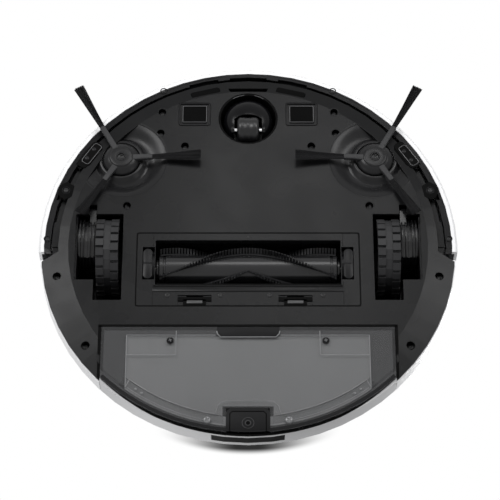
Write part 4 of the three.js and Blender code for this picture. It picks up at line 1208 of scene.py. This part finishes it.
def flat(name, x0, x1, y0, y1, z, faces_down=False):
    """A level sheet of the stage."""
    corners = [(x0, y0, z), (x1, y0, z), (x1, y1, z), (x0, y1, z)]
    if faces_down:
        corners.reverse()
    mesh = bpy.data.meshes.new(name)
    mesh.from_pydata(corners, [], [(0, 1, 2, 3)])
    new_object(name, mesh)
    made = bpy.data.materials.new(name)
    made.use_nodes = True
    made.node_tree.nodes.clear()
    mesh.materials.append(made)
    return made.node_tree


def front_for_camera(tree):
    """1 where a camera ray meets the front of the sheet, else 0."""
    path = add(tree, "ShaderNodeLightPath")
    surface = add(tree, "ShaderNodeNewGeometry")
    front = calculate(tree, "SUBTRACT", 1.0, surface.outputs["Backfacing"])
    return calculate(tree, "MULTIPLY", path.outputs["Is Camera Ray"], front)


def show_through(tree, weight, shader):
    """Shows a shader by a weight, and nothing where the weight is 0."""
    clear = add(tree, "ShaderNodeBsdfTransparent").outputs[0]
    output = add(tree, "ShaderNodeOutputMaterial")
    link(tree, mixed(tree, weight, clear, shader), 0, output, "Surface")


def faded(tree, source, start, end, top=1.0):
    """A value that falls from top at start to 0 at end."""
    return remapped(tree, source, start, end, top, 0.0, interpolation_type="SMOOTHSTEP")


def make_floor():
    """A pale floor that only shows for a camera above it, and that fades away at a distance."""
    tree = flat("floor", -6, 6, -6, 6, 0)
    place = add(tree, "ShaderNodeTexCoord")
    away = add(tree, "ShaderNodeVectorMath", operation="LENGTH")
    link(tree, place, "Object", away, 0)
    near = faded(tree, away.outputs["Value"], 0.5, 1.5)
    show_through(tree, calculate(tree, "MULTIPLY", front_for_camera(tree), near), diffuse(tree, 0.9))


def make_shade_card():
    """A dark sheet below the floor, behind the machine, that the camera doesn't see.

    It keeps the low lamps off the middle of the rear wall."""
    rear = SHELL_RADIUS * MM
    tree = flat("shade_card", -0.1, 0.1, rear + 0.001, rear + 0.05, -0.004)
    path = add(tree, "ShaderNodeLightPath")
    unseen = calculate(tree, "SUBTRACT", 1.0, path.outputs["Is Camera Ray"])
    show_through(tree, unseen, diffuse(tree, 0.02))


def make_contact_shadow():
    """A painted soft shadow on a sheet behind the machine's rear edge, seen from below only."""
    edge = SHELL_RADIUS * MM
    tree = flat("contact_shadow", -0.12, 0.12, edge - 0.06, edge + 0.02, 0.036, faces_down=True)
    place = add(tree, "ShaderNodeTexCoord")
    parts = add(tree, "ShaderNodeSeparateXYZ")
    link(tree, place, "Object", parts, "Vector")
    x, y, _ = parts.outputs
    across = faded(tree, calculate(tree, "ABSOLUTE", x), 0.008, 0.078)
    squares = [calculate(tree, "MULTIPLY", value, value) for value in (x, y)]
    reach = calculate(tree, "SQRT", calculate(tree, "ADD", *squares))
    behind = faded(tree, reach, edge + 0.0005, edge + 0.0065, 0.97)
    weight = calculate(tree, "MULTIPLY", across, behind)
    show_through(tree, calculate(tree, "MULTIPLY", weight, front_for_camera(tree)), diffuse(tree, 0.0))


make_floor()
make_shade_card()
make_contact_shadow()
bpy.context.scene.view_settings.view_transform = "Standard"
